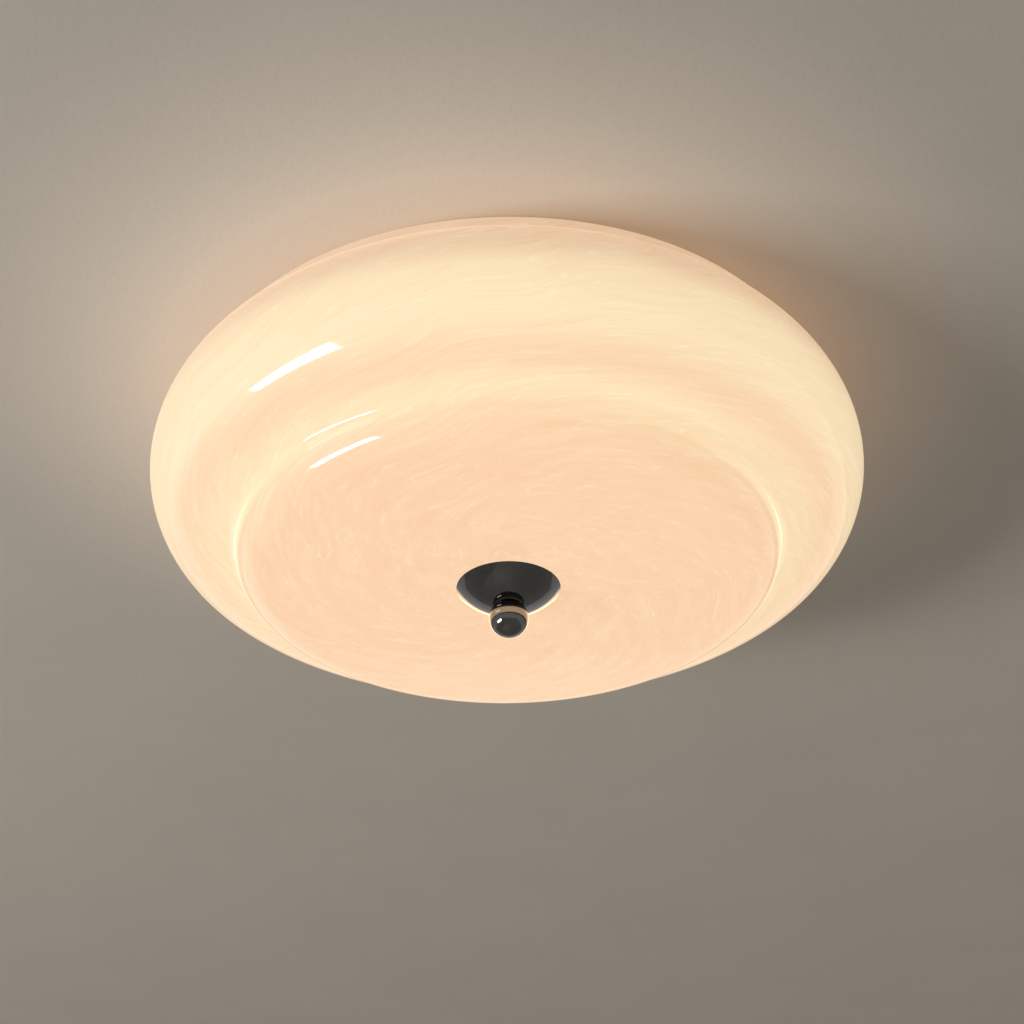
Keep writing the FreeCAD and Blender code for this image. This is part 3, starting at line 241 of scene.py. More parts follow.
def revolved(corners, steps):
    """A closed outline turned once round the Z axis."""
    bm = bmesh.new()
    line = Outline(bm, corners[0][0], corners[0][1])
    line.draw(corners, closed=True)
    bmesh.ops.remove_doubles(bm, verts=bm.verts[:], dist=MERGE)
    bmesh.ops.spin(bm, geom=bm.verts[:] + bm.edges[:], cent=(0, 0, 0), axis=(0, 0, 1), dvec=(0, 0, 0),
                   angle=2 * math.pi, steps=steps, use_merge=True, use_normal_flip=False, use_duplicate=False)
    return bm


def finished(bm, name, material):
    """Turns a bmesh into a smooth shaded object with crisp edges."""
    bmesh.ops.remove_doubles(bm, verts=bm.verts[:], dist=MERGE)
    bmesh.ops.recalc_face_normals(bm, faces=bm.faces[:])
    for face in bm.faces:
        face.smooth = True
    for edge in bm.edges:
        if edge.calc_face_angle(0.0) > SHARP:
            edge.smooth = False
    mesh = bpy.data.meshes.new(name)
    bm.to_mesh(mesh)
    bm.free()
    mesh.materials.append(material)
    made = bpy.data.objects.new(name, mesh)
    bpy.context.scene.collection.objects.link(made)
    return made


# Node trees

class Tree:
    """Adds nodes to a node tree and joins them."""

    def __init__(self, tree):
        self.tree = tree

    def add(self, kind, **settings):
        node = self.tree.nodes.new(kind)
        for name, value in settings.items():
            setattr(node, name, value)
        return node

    def feed(self, socket, value):
        if isinstance(value, bpy.types.NodeSocket):
            self.tree.links.new(value, socket)
        elif value is not None:
            socket.default_value = value

    def math(self, operation, *values):
        node = self.add("ShaderNodeMath", operation=operation)
        for socket, value in zip(node.inputs, values):
            self.feed(socket, value)
        return node.outputs[0]

    def vector(self, operation, *values):
        node = self.add("ShaderNodeVectorMath", operation=operation)
        for socket, value in zip(node.inputs, values):
            self.feed(socket, value)
        return node

    def mix(self, factor, first, second):
        node = self.add("ShaderNodeMix", data_type="RGBA")
        self.feed(node.inputs["Factor"], factor)
        self.feed(node.inputs[6], first)
        self.feed(node.inputs[7], second)
        return node.outputs[2]

    def noise(self, place, scale, detail=2.0, roughness=0.5, distortion=0.0):
        node = self.add("ShaderNodeTexNoise")
        self.feed(node.inputs["Vector"], place)
        self.feed(node.inputs["Scale"], scale)
        node.inputs["Detail"].default_value = detail
        node.inputs["Roughness"].default_value = roughness
        node.inputs["Distortion"].default_value = distortion
        return node

    def cells(self, place, scale, feature="F1"):
        node = self.add("ShaderNodeTexVoronoi", feature=feature)
        self.feed(node.inputs["Vector"], place)
        self.feed(node.inputs["Scale"], scale)
        return node

    def ranged(self, value, low, high, to_low=0.0, to_high=1.0, smooth=True):
        node = self.add("ShaderNodeMapRange", interpolation_type="SMOOTHSTEP" if smooth else "LINEAR")
        self.feed(node.inputs["Value"], value)
        for name, end in (("From Min", low), ("From Max", high), ("To Min", to_low), ("To Max", to_high)):
            self.feed(node.inputs[name], end)
        return node.outputs[0]

    def place(self):
        return self.add("ShaderNodeTexCoord").outputs["Object"]

    def parts(self, vector):
        """The X, Y and Z of a vector or colour."""
        node = self.add("ShaderNodeSeparateXYZ")
        self.feed(node.inputs[0], vector)
        return node.outputs

    def radius(self, place):
        """How far a place is from the Z axis."""
        flat = self.vector("MULTIPLY", place, (1.0, 1.0, 0.0)).outputs[0]
        return self.vector("LENGTH", flat).outputs["Value"]

    def stretched(self, place, scale):
        node = self.add("ShaderNodeMapping")
        self.feed(node.inputs["Vector"], place)
        self.feed(node.inputs["Scale"], scale)
        return node.outputs[0]


def opaque(rgb, strength=1.0):
    return (rgb[0] * strength, rgb[1] * strength, rgb[2] * strength, 1.0)


GROUP_SOCKETS = {"colour": "NodeSocketColor", "value": "NodeSocketFloat"}


def new_group(name, takes, gives):
    """An empty node group with named inputs (name, kind, default) and outputs (name, kind)."""
    group = bpy.data.node_groups.new(name, "ShaderNodeTree")
    for label, kind, default in takes:
        socket = group.interface.new_socket(name=label, in_out="INPUT", socket_type=GROUP_SOCKETS[kind])
        socket.default_value = default
    for label, kind in gives:
        group.interface.new_socket(name=label, in_out="OUTPUT", socket_type=GROUP_SOCKETS[kind])
    tree = Tree(group)
    return tree, tree.add("NodeGroupInput").outputs, tree.add("NodeGroupOutput").inputs


def group_of(name, maker):
    """A shared node group, made the first time it is asked for."""
    if name not in bpy.data.node_groups:
        maker(name)
    return bpy.data.node_groups[name]


def make_mottle_group(name):
    """Cloudy colour variation and a fine even grain, for moulded, painted and plated surfaces."""
    tree, takes, gives = new_group(
        name,
        [("Colour", "colour", (0.5, 0.5, 0.5, 1.0)), ("Tint", "colour", (0.4, 0.4, 0.4, 1.0)),
         ("Cloud Scale", "value", 40.0), ("Grain Scale", "value", 900.0)],
        [("Colour", "colour"), ("Cloud", "value"), ("Grain", "value")])
    place = tree.place()
    cloud = tree.noise(place, takes["Cloud Scale"], detail=4.0, roughness=0.6).outputs[0]
    spread = tree.ranged(cloud, 0.3, 0.7)
    grain = tree.noise(place, takes["Grain Scale"], detail=3.0, roughness=0.55).outputs[0]
    tree.feed(gives["Colour"], tree.mix(spread, takes["Colour"], takes["Tint"]))
    tree.feed(gives["Cloud"], spread)
    tree.feed(gives["Grain"], grain)


def make_turned_group(name):
    """Fine rings left by a lathe or a polishing wheel round the Z axis, with faint smears across them."""
    tree, takes, gives = new_group(name, [("Ring Scale", "value", 3000.0), ("Smear Scale", "value", 60.0)],
                                   [("Rings", "value"), ("Smears", "value")])
    place = tree.place()
    joined = tree.add("ShaderNodeCombineXYZ")
    tree.feed(joined.inputs[0], tree.radius(place))
    tree.feed(joined.inputs[2], tree.parts(place)[2])
    rings = tree.noise(joined.outputs[0], takes["Ring Scale"], detail=2.0).outputs[0]
    smears = tree.noise(place, takes["Smear Scale"], detail=5.0, roughness=0.65, distortion=0.6).outputs[0]
    tree.feed(gives["Rings"], rings)
    tree.feed(gives["Smears"], tree.ranged(smears, 0.35, 0.7))


def make_spangle_group(name):
    """The feathered crystals of a hot dip zinc coat."""
    tree, takes, gives = new_group(name, [("Spangle Scale", "value", 180.0)],
                                   [("Spangle", "value"), ("Feather", "value")])
    place = tree.place()
    bent = tree.noise(place, 90.0, detail=2.0)
    moved = tree.vector("MULTIPLY_ADD", bent.outputs["Color"], (0.006, 0.006, 0.006), place).outputs[0]
    cell = tree.cells(moved, takes["Spangle Scale"])
    feather = tree.noise(tree.stretched(place, (1.0, 0.18, 1.0)), 1500.0, detail=2.0).outputs[0]
    tree.feed(gives["Spangle"], tree.parts(cell.outputs["Color"])[0])
    tree.feed(gives["Feather"], feather)


def make_flake_group(name):
    """The flakes of cloud glass: roundish near the middle, drawn out into swirling streaks further out.

    Reach is about the distance along the glass from its middle. The flakes are laid in a space that turns
    about the Z axis with it, which shears them into streaks.
    """
    twist_rate = -19.0
    twist_start = 0.085
    round_middle = 0.0072
    tree, takes, gives = new_group(
        name,
        [("Depth", "value", 0.1124), ("Flake Scale", "value", 143.0)],
        [("Reach", "value"), ("Outline", "value"), ("Flake", "value"), ("Streak", "value"),
         ("Wave", "value")])
    place = tree.place()
    climb = tree.math("ADD", tree.parts(place)[2], takes["Depth"])
    reach = tree.math("ADD", tree.radius(place), climb)
    soft = tree.math("SQRT", tree.math("MULTIPLY_ADD", reach, reach, round_middle))
    twist = tree.math("MULTIPLY", tree.math("SUBTRACT", soft, twist_start), twist_rate)
    wander = tree.noise(place, 16.0, detail=1.0)
    bent = tree.math("MULTIPLY_ADD", wander.outputs[0], 0.5, twist)
    turned = tree.add("ShaderNodeVectorRotate", rotation_type="Z_AXIS")
    tree.feed(turned.inputs["Vector"], place)
    tree.feed(turned.inputs["Angle"], bent)
    ripple = tree.noise(turned.outputs[0], 160.0, detail=2.0)
    laid = tree.vector("MULTIPLY_ADD", ripple.outputs["Color"], (0.004, 0.004, 0.004),
                       turned.outputs[0]).outputs[0]
    edges = tree.cells(laid, takes["Flake Scale"], feature="DISTANCE_TO_EDGE")
    whole = tree.cells(laid, takes["Flake Scale"])
    under = tree.cells(laid, tree.math("MULTIPLY", takes["Flake Scale"], 1.7))
    first = tree.math("MULTIPLY", tree.parts(whole.outputs["Color"])[0], 0.5)
    both = tree.math("MULTIPLY_ADD", tree.parts(under.outputs["Color"])[1], 0.5, first)
    streak = tree.noise(laid, 70.0, detail=3.0, roughness=0.6).outputs[0]
    thinned = tree.noise(laid, 110.0, detail=1.0).outputs[0]
    lines = tree.ranged(edges.outputs["Distance"], 0.0, 0.075, 1.0, 0.0)
    tree.feed(gives["Reach"], reach)
    tree.feed(gives["Outline"], tree.math("MULTIPLY", lines, tree.ranged(thinned, 0.47, 0.62)))
    tree.feed(gives["Flake"], both)
    tree.feed(gives["Streak"], tree.ranged(streak, 0.3, 0.7))
    tree.feed(gives["Wave"], tree.noise(place, 22.0, detail=1.0).outputs[0])


class Finish:
    """A material with a Principled BSDF and the tree round it."""

    def __init__(self, name, roughness, metallic=0.0, **constants):
        self.material = bpy.data.materials.new(name)
        self.material.use_nodes = True
        self.tree = Tree(self.material.node_tree)
        self.shader = self.material.node_tree.nodes["Principled BSDF"]
        self.shader.inputs["Roughness"].default_value = roughness
        self.shader.inputs["Metallic"].default_value = metallic
        for label, value in constants.items():
            self.shader.inputs[label.replace("_", " ").title().replace("Ior", "IOR")].default_value = value

    def use(self, name, maker, **values):
        node = self.tree.add("ShaderNodeGroup", node_tree=group_of(name, maker))
        for label, value in values.items():
            self.tree.feed(node.inputs[label.replace("_", " ").title()], value)
        return node.outputs

    def join(self, label, value):
        self.tree.feed(self.shader.inputs[label], value)

    def bump(self, height, strength, distance):
        node = self.tree.add("ShaderNodeBump")
        self.tree.feed(node.inputs["Height"], height)
        node.inputs["Strength"].default_value = strength
        node.inputs["Distance"].default_value = distance
        self.join("Normal", node.outputs[0])

    def rough(self, value, low, high):
        self.join("Roughness", self.tree.ranged(value, 0.0, 1.0, low, high, smooth=False))


def plain_finish(name, base, tint, roughness, grain_bump, cloud_scale=40.0, grain_scale=900.0,
                 metallic=0.0, spread=0.06, distance=0.0002, **constants):
    """Moulded, painted or plated: cloudy colour, fine grain, and roughness that follows the clouds."""
    made = Finish(name, roughness, metallic, **constants)
    marks = made.use("mottle", make_mottle_group, colour=opaque(base), tint=opaque(tint),
                     cloud_scale=cloud_scale, grain_scale=grain_scale)
    made.join("Base Color", marks["Colour"])
    made.rough(marks["Cloud"], roughness - spread, roughness + spread)
    made.bump(marks["Grain"], grain_bump, distance)
    return made


def glass_finish(settings):
    """Opal glass lit from inside: its glow follows the reach from the middle, and the flakes tint it."""
    made = Finish("cloud_glass", 0.09, coat_weight=0.4, coat_roughness=0.06, specular_ior_level=0.1)
    tree = made.tree
    marks = made.use("flakes", make_flake_group, depth=settings.depth, flake_scale=1.0 / settings.flake_size)
    full_reach = 0.3
    bottom_ends = 0.11
    tier_starts = 0.13
    flake_share = 0.35
    streak_share = 0.55
    mean_light = 0.5
    lift_tint = (0.35, 1.0, 0.9)
    stops = [
        (0.125, settings.bottom_glow), (0.155, settings.bottom_glow), (0.172, settings.edge_glow),
        (0.186, settings.edge_glow), (0.204, settings.groove_glow), (0.222, settings.belly_glow),
        (0.262, settings.belly_glow), (0.276, settings.collar_glow), (0.295, settings.collar_glow),
    ]
    ramp = tree.add("ShaderNodeValToRGB")
    ramp.color_ramp.interpolation = "B_SPLINE"
    while len(ramp.color_ramp.elements) < len(stops):
        ramp.color_ramp.elements.new(0.5)
    for element, (reach, stop_glow) in zip(ramp.color_ramp.elements, stops):
        element.position = reach / full_reach
        element.color = opaque(stop_glow)
    tree.feed(ramp.inputs[0], tree.math("DIVIDE", marks["Reach"], full_reach))
    light = tree.math("MULTIPLY_ADD", marks["Flake"], flake_share, marks["Outline"])
    light = tree.math("MULTIPLY_ADD", marks["Streak"], streak_share, light)
    centred = tree.math("SUBTRACT", light, mean_light)
    lift = tree.math("MULTIPLY", centred, settings.flake_contrast)
    tinted = tree.vector("SCALE", lift_tint)
    tree.feed(tinted.inputs["Scale"], lift)
    glow = tree.vector("ADD", ramp.outputs[0], tinted.outputs[0]).outputs[0]
    # painted reflection: the underside's glow is made brighter for glossy rays only, so the dish and the
    # finial reflect more of it than the glass gives
    mirrored = tree.add("ShaderNodeLightPath").outputs["Is Glossy Ray"]
    brighter = tree.vector("SCALE", glow)
    painted_reflection_share = tree.ranged(marks["Reach"], bottom_ends, tier_starts, settings.painted_reflection_boost, 0.0)
    tree.feed(brighter.inputs["Scale"], tree.math("MULTIPLY_ADD", mirrored, painted_reflection_share, 1.0))
    made.join("Emission Color", brighter.outputs[0])
    made.shader.inputs["Emission Strength"].default_value = 1.0
    made.join("Base Color", tree.mix(marks["Flake"], opaque(settings.body_colour),
                                     opaque(settings.body_colour, 1.08)))
    made.rough(marks["Streak"], 0.07, 0.12)
    made.bump(marks["Wave"], 0.12, 0.0012)
    return made.material


def nickel_finish(settings):
    base = settings.nickel_colour
    made = Finish("black_nickel_plate", settings.nickel_roughness, 1.0)
    marks = made.use("turned", make_turned_group, ring_scale=2600.0, smear_scale=70.0)
    made.join("Base Color", made.tree.mix(marks["Smears"], opaque(base), opaque(base, 0.86)))
    made.rough(marks["Smears"], settings.nickel_roughness * 0.75, settings.nickel_roughness * 1.5)
    made.bump(marks["Rings"], 0.03, 0.00005)
    return made.material


def zinc_finish():
    made = Finish("bright_zinc", 0.3, 1.0)
    marks = made.use("turned", make_turned_group, ring_scale=900.0, smear_scale=160.0)
    made.join("Base Color", made.tree.mix(marks["Smears"], (0.64, 0.65, 0.67, 1.0), (0.55, 0.56, 0.60, 1.0)))
    made.rough(marks["Smears"], 0.22, 0.4)
    made.bump(marks["Rings"], 0.1, 0.0001)
    return made.material


def galvanised_finish():
    made = Finish("hot_dip_zinc", 0.42, 1.0)
    marks = made.use("spangle", make_spangle_group, spangle_scale=210.0)
    made.join("Base Color", made.tree.mix(marks["Spangle"], (0.50, 0.52, 0.54, 1.0), (0.68, 0.69, 0.71, 1.0)))
    made.rough(marks["Spangle"], 0.34, 0.5)
    made.bump(marks["Feather"], 0.12, 0.0001)
    return made.material


def board_finish():
    """White solder resist over copper rings that join the LEDs."""
    made = Finish("white_resist", 0.35, coat_weight=0.3, coat_roughness=0.15)
    tree = made.tree
    marks = made.use("mottle", make_mottle_group, colour=(0.84, 0.84, 0.81, 1.0),
                     tint=(0.80, 0.80, 0.76, 1.0), cloud_scale=60.0, grain_scale=1500.0)
    track_radii = (0.0555, 0.0645, 0.1015, 0.1105)
    copper_edge = 0.0016
    step_end = 0.0019
    radius = tree.radius(tree.place())
    tracks = 0.0
    for track in track_radii:
        off = tree.math("ABSOLUTE", tree.math("SUBTRACT", radius, track))
        band = tree.ranged(off, copper_edge, step_end, 1.0, 0.0)
        tracks = tree.math("MAXIMUM", band, tracks)
    made.join("Base Color", tree.mix(tracks, marks["Colour"], (0.86, 0.85, 0.78, 1.0)))
    made.rough(marks["Cloud"], 0.3, 0.4)
    height = tree.math("ADD", tracks, tree.math("MULTIPLY", marks["Grain"], 0.1))
    made.bump(height, 0.6, 0.00004)
    return made.material


def phosphor_finish():
    """A lit LED: a white case round a bright amber gel."""
    made = Finish("lit_phosphor", 0.4)
    marks = made.use("mottle", make_mottle_group, colour=(0.95, 0.72, 0.30, 1.0),
                     tint=(0.93, 0.66, 0.22, 1.0), cloud_scale=500.0, grain_scale=3000.0)
    made.join("Base Color", marks["Colour"])
    glow = made.tree.mix(marks["Cloud"], (1.0, 0.82, 0.52, 1.0), (1.0, 0.76, 0.44, 1.0))
    made.join("Emission Color", glow)
    made.shader.inputs["Emission Strength"].default_value = 0.9
    made.bump(marks["Grain"], 0.1, 0.00005)
    return made.material


def clear_finish(name, tint, roughness, ior, transmission):
    """Clear plastic or silicone with a faint haze and moulding waves."""
    made = Finish(name, roughness, ior=ior, transmission_weight=transmission)
    marks = made.use("mottle", make_mottle_group, colour=opaque(tint), tint=opaque(tint, 0.95),
                     cloud_scale=90.0, grain_scale=700.0)
    made.join("Base Color", marks["Colour"])
    made.rough(marks["Cloud"], roughness * 0.7, roughness * 1.3)
    made.bump(marks["Cloud"], 0.05, 0.0002)
    return made.material


def lead_finish(name, base):
    """Glossy wire insulation with the faint draw lines of its die."""
    return plain_finish(name, base, [part * 0.85 for part in base], 0.36, 0.08, cloud_scale=160.0,
                        grain_scale=2500.0, distance=0.0001, coat_weight=0.15).material


def striped_lead_finish():
    """Green insulation with yellow stripes along it."""
    made = Finish("green_yellow_pvc", 0.36, coat_weight=0.15)
    tree = made.tree
    marks = made.use("mottle", make_mottle_group, colour=(0.08, 0.36, 0.06, 1.0),
                     tint=(0.07, 0.31, 0.05, 1.0), cloud_scale=160.0, grain_scale=2500.0)
    wave = tree.add("ShaderNodeTexWave", wave_type="BANDS", bands_direction="Y")
    tree.feed(wave.inputs["Vector"], tree.place())
    wave.inputs["Scale"].default_value = 110.0
    wave.inputs["Distortion"].default_value = 0.0
    stripes = tree.ranged(wave.outputs["Fac"], 0.45, 0.55)
    made.join("Base Color", tree.mix(stripes, marks["Colour"], (0.85, 0.62, 0.03, 1.0)))
    made.rough(marks["Cloud"], 0.3, 0.42)
    made.bump(marks["Grain"], 0.08, 0.0001)
    return made.material


def frame_finishes(metal, glass):
    """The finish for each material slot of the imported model."""
    return {
        "opal_flake_glass": glass_finish(glass),
        "black_nickel": nickel_finish(metal),
        "zinc_steel": zinc_finish(),
        "galvanised_steel": galvanised_finish(),
        "white_powder_coat": plain_finish("white_powder", (0.83, 0.83, 0.81), (0.80, 0.80, 0.775), 0.42, 0.22,
                                          cloud_scale=18.0, grain_scale=700.0, distance=0.0002).material,
        "clear_silicone": clear_finish("hazy_silicone", (0.86, 0.87, 0.87), 0.3, 1.41, 0.55),
        "black_rubber": plain_finish("black_grommet_rubber", (0.02, 0.02, 0.021), (0.035, 0.034, 0.033),
                                     0.62, 0.2).material,
        "white_board": board_finish(),
        "led_phosphor": phosphor_finish(),
        "clear_lens": clear_finish("clear_acrylic", (0.96, 0.96, 0.96), 0.04, 1.49, 0.92),
        "white_plastic": plain_finish("white_moulding", (0.80, 0.80, 0.78), (0.76, 0.76, 0.73), 0.45, 0.16,
                                      cloud_scale=30.0, grain_scale=1400.0, distance=0.0001).material,
        "green_board": plain_finish("green_resist", (0.03, 0.20, 0.07), (0.025, 0.16, 0.055), 0.3, 0.1,
                                    cloud_scale=120.0, coat_weight=0.4).material,
        "dark_component": plain_finish("component_case", (0.03, 0.03, 0.035), (0.05, 0.05, 0.055),
                                       0.4, 0.12).material,
        "natural_nylon": plain_finish("natural_polyamide", (0.74, 0.71, 0.62), (0.69, 0.66, 0.56), 0.42, 0.14,
                                      cloud_scale=70.0, grain_scale=1800.0, subsurface_weight=0.1).material,
        "plain_brass": plain_finish("bare_brass", (0.83, 0.62, 0.27), (0.72, 0.50, 0.20), 0.28, 0.12,
                                    cloud_scale=200.0, metallic=1.0, distance=0.0001).material,
        "brown_insulation": lead_finish("brown_pvc", (0.16, 0.065, 0.025)),
        "blue_insulation": lead_finish("blue_pvc", (0.02, 0.09, 0.42)),
        "green_yellow_insulation": striped_lead_finish(),
        "red_insulation": lead_finish("red_pvc", (0.50, 0.02, 0.015)),
        "black_insulation": lead_finish("black_pvc", (0.022, 0.022, 0.024)),
    }


finishes = {}


def finish_of(slot):
    if not finishes:
        scene = bpy.context.scene
        finishes.update(frame_finishes(scene.light_metal, scene.light_glass))
    return finishes[slot]


def put_in_place(made, node, body):
    """The piece stands for a CAD node, which it hides, and moves with its body."""
    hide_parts(node)
    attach(made, body)


# Pieces

def shade_line(glass, inset):
    """One side of the glass's wall from the rim down to the hole, moved inwards by inset."""
    across = glass.belly_radius - glass.belly_pole_radius
    up = glass.belly_half_height - glass.belly_end_arc
    side_arc = (across ** 2 + up ** 2 - glass.belly_end_arc ** 2) / (2 * (across - glass.belly_end_arc))
    side_centre = glass.belly_radius - side_arc
    side_share = (side_arc - inset) / (side_arc - glass.belly_end_arc)
    joint_radius = side_centre + (glass.belly_pole_radius - side_centre) * side_share
    joint_height = up * side_share
    fillet_across = glass.rim_radius + glass.collar_fillet - glass.belly_pole_radius
    fillet_reach = glass.belly_end_arc + glass.collar_fillet
    fillet_up = math.sqrt(fillet_reach ** 2 - fillet_across ** 2)
    shoulder_level = up - glass.belly_level
    shoulder_share = (glass.belly_end_arc - inset) / fillet_reach
    low = glass.belly_level + glass.belly_half_height
    floor = -glass.depth + inset
    return [
        (glass.rim_radius - inset, shoulder_level + fillet_up, "left", glass.collar_fillet + inset),
        (glass.belly_pole_radius + fillet_across * shoulder_share,
         shoulder_level + fillet_up * shoulder_share, "right", glass.belly_end_arc - inset),
        (joint_radius, joint_height - glass.belly_level, "right", side_arc - inset),
        (joint_radius, -joint_height - glass.belly_level, "right", glass.belly_end_arc - inset),
        (glass.belly_pole_radius, -low + inset),
        (glass.tier_radius + glass.groove_arc, -low + inset, "left", glass.groove_arc + inset),
        (glass.tier_radius - inset, -low - glass.groove_arc),
        (glass.tier_radius - inset, -glass.depth + glass.bottom_rise + glass.tier_arc, "right",
         glass.tier_arc - inset),
        (glass.tier_radius - glass.tier_arc, floor + glass.bottom_rise),
        (glass.land_radius, floor),
        (glass.hole_radius, floor),
    ]


class LIGHT_OT_glass_shade(bpy.types.Operator):
    """Blow the cloud glass shade: a rim, a round belly, a groove and a lower tier"""

    bl_idname = "light.glass_shade"
    bl_label = "Glass Shade"

    def execute(self, context):
        glass = context.scene.light_glass
        lip = glass.wall / 2
        lip_level = -glass.rim_gap - lip
        rim = [
            (glass.rim_radius - glass.wall, lip_level, "right", lip),
            (glass.rim_radius - lip, -glass.rim_gap, "right", lip),
            (glass.rim_radius, lip_level),
        ]
        corners = rim + shade_line(glass, 0.0) + backwards(shade_line(glass, glass.wall))
        made = finished(revolved(corners, GLASS_STEPS), "shade_glass", finish_of("opal_flake_glass"))
        put_in_place(made, "glass_shade", "shade")
        return {"FINISHED"}


class LIGHT_OT_dish(bpy.types.Operator):
    """Press the domed dish that holds the glass up"""

    bl_idname = "light.dish"
    bl_label = "Dish"

    def execute(self, context):
        metal = context.scene.light_metal
        top = -context.scene.light_glass.depth
        seat = top - metal.dish_depth
        across = metal.dish_radius ** 2 - metal.dish_seat_radius ** 2
        centre = (across - metal.dish_depth ** 2) / (2 * metal.dish_depth)
        dome = math.hypot(centre, metal.dish_radius)
        inner = dome - metal.dish_sheet
        inner_edge = math.sqrt(inner ** 2 - centre ** 2)
        inner_seat = math.sqrt(inner ** 2 - (centre + metal.dish_depth - metal.dish_sheet) ** 2)
        corners = [
            (metal.dish_hole_radius, seat),
            (metal.dish_seat_radius, seat, "left", dome),
            (metal.dish_radius, top),
            (inner_edge, top, "right", inner),
            (inner_seat, seat + metal.dish_sheet),
            (metal.dish_hole_radius, seat + metal.dish_sheet),
        ]
        made = finished(revolved(corners, DISH_STEPS), "dish_pressed", finish_of("black_nickel"))
        put_in_place(made, "dish", "clamp")
        return {"FINISHED"}


class LIGHT_OT_finial(bpy.types.Operator):
    """Turn the finial: a ball, cut flat where it bears on the dish, with a blind threaded hole"""

    bl_idname = "light.finial"
    bl_label = "Finial"

    def execute(self, context):
        metal = context.scene.light_metal
        seat = -context.scene.light_glass.depth - metal.dish_depth
        middle = seat - metal.ball_level
        ball = metal.ball_radius
        bore_end = seat - metal.finial_bore_depth
        corners = [
            (metal.finial_bore_radius, seat),
            (metal.finial_bore_radius, bore_end),
            (0.0, bore_end),
            (0.0, middle - ball, "left", ball),
            (ball, middle, "left", ball),
            (math.sqrt(ball ** 2 - metal.ball_level ** 2), seat),
        ]
        made = finished(revolved(corners, FINIAL_STEPS), "finial_turned", finish_of("black_nickel"))
        put_in_place(made, "finial", "knob")
        return {"FINISHED"}


class LIGHT_OT_threaded_rod(bpy.types.Operator):
    """Cut the thread of the hollow rod as a true screw line"""

    bl_idname = "light.threaded_rod"
    bl_label = "Threaded Rod"

    def execute(self, context):
        metal = context.scene.light_metal
        low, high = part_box("hollow_rod")
        crest = high.x
        root = crest - metal.thread_depth
        clear_of_bore = metal.rod_bore_radius * 1.05
        pitch = metal.thread_pitch
        spare_turns = 3
        turns = math.ceil((high.z - low.z) / pitch) + spare_turns
        bm = bmesh.new()
        line = Outline(bm, crest, low.z - pitch)
        for turn in range(turns):
            start = low.z - pitch + turn * pitch
            line.run_to(root, start + pitch * 0.5)
            line.run_to(crest, start + pitch)
        bmesh.ops.spin(bm, geom=bm.verts[:] + bm.edges[:], cent=(0, 0, 0), axis=(0, 0, 1),
                       dvec=(0, 0, pitch / THREAD_STEPS), angle=2 * math.pi, steps=THREAD_STEPS,
                       use_merge=False, use_normal_flip=False, use_duplicate=False)
        bmesh.ops.remove_doubles(bm, verts=bm.verts[:], dist=MERGE)
        for level, side in ((low.z, -1), (high.z, 1)):
            bmesh.ops.bisect_plane(bm, geom=bm.verts[:] + bm.edges[:] + bm.faces[:], dist=1e-7,
                                   plane_co=(0, 0, level), plane_no=(0, 0, side), clear_outer=True)
        circles = []
        for level in (low.z, high.z):
            made = bmesh.ops.create_circle(bm, cap_ends=False, segments=THREAD_STEPS,
                                           radius=metal.rod_bore_radius,
                                           matrix=Matrix.Translation((0, 0, level)))
            edges = set(edge for vert in made["verts"] for edge in vert.link_edges)
            circles.append(list(edges))
        bmesh.ops.bridge_loops(bm, edges=circles[0] + circles[1])
        for level, circle in zip((low.z, high.z), circles):
            rim = [edge for edge in bm.edges if len(edge.link_faces) == 1 and edge not in circle
                   and all(abs(vert.co.z - level) < MERGE for vert in edge.verts)
                   and all(vert.co.xy.length > clear_of_bore for vert in edge.verts)]
            bmesh.ops.bridge_loops(bm, edges=rim + circle)
        made = finished(bm, "rod_threaded", finish_of("zinc_steel"))
        put_in_place(made, "hollow_rod", "base")
        return {"FINISHED"}


class LIGHT_OT_frame_finishes(bpy.types.Operator):
    """Give every part of the frame that shows its own finish"""

    bl_idname = "light.frame_finishes"
    bl_label = "Frame Finishes"

    def execute(self, context):
        for node in frame["nodes"].values():
            for place in node.material_slots:
                place.material = finish_of(place.material.name)
        return {"FINISHED"}


# Stage

def ceiling_finish(room):
    """A painted ceiling that shows from below only, with a painted pool of warm light round the light fitting
    that stands in for the light's own glow.
    """
    glow_middle = (-0.02, -0.035, 0.0)
    glow_starts = 0.17
    glow_ends = 0.34
    glow_fall = 1.8
    made = Finish("ceiling_paint_with_painted_glow", 0.85, specular_ior_level=0.2)
    tree = made.tree
    marks = made.use("mottle", make_mottle_group, colour=opaque(room.ceiling_colour),
                     tint=opaque(room.ceiling_colour, 0.965),
                     cloud_scale=7.0, grain_scale=260.0)
    away = tree.radius(tree.vector("SUBTRACT", tree.place(), glow_middle).outputs[0])
    # painted light: the ceiling turns warmer and lighter towards the light fitting, a painted pool of its
    # glow
    painted_glow = tree.math("POWER", tree.ranged(away, glow_starts, glow_ends, 1.0, 0.0, smooth=False), glow_fall)
    made.join("Base Color", tree.mix(painted_glow, marks["Colour"], opaque(room.painted_glow_ceiling_colour)))
    made.bump(marks["Grain"], 0.2, 0.0008)
    clear = tree.add("ShaderNodeBsdfTransparent")
    mixed = tree.add("ShaderNodeMixShader")
    tree.feed(mixed.inputs[0], tree.add("ShaderNodeNewGeometry").outputs["Backfacing"])
    tree.feed(mixed.inputs[1], made.shader.outputs[0])
    tree.feed(mixed.inputs[2], clear.outputs[0])
    ends = made.material.node_tree.nodes["Material Output"]
    tree.feed(ends.inputs["Surface"], mixed.outputs[0])
    return made.material


def floor_finish(room):
    return plain_finish("plain_floor", room.floor_colour, [part * 0.97 for part in room.floor_colour],
                        0.8, 0.1, cloud_scale=1.5, grain_scale=60.0, distance=0.002).material


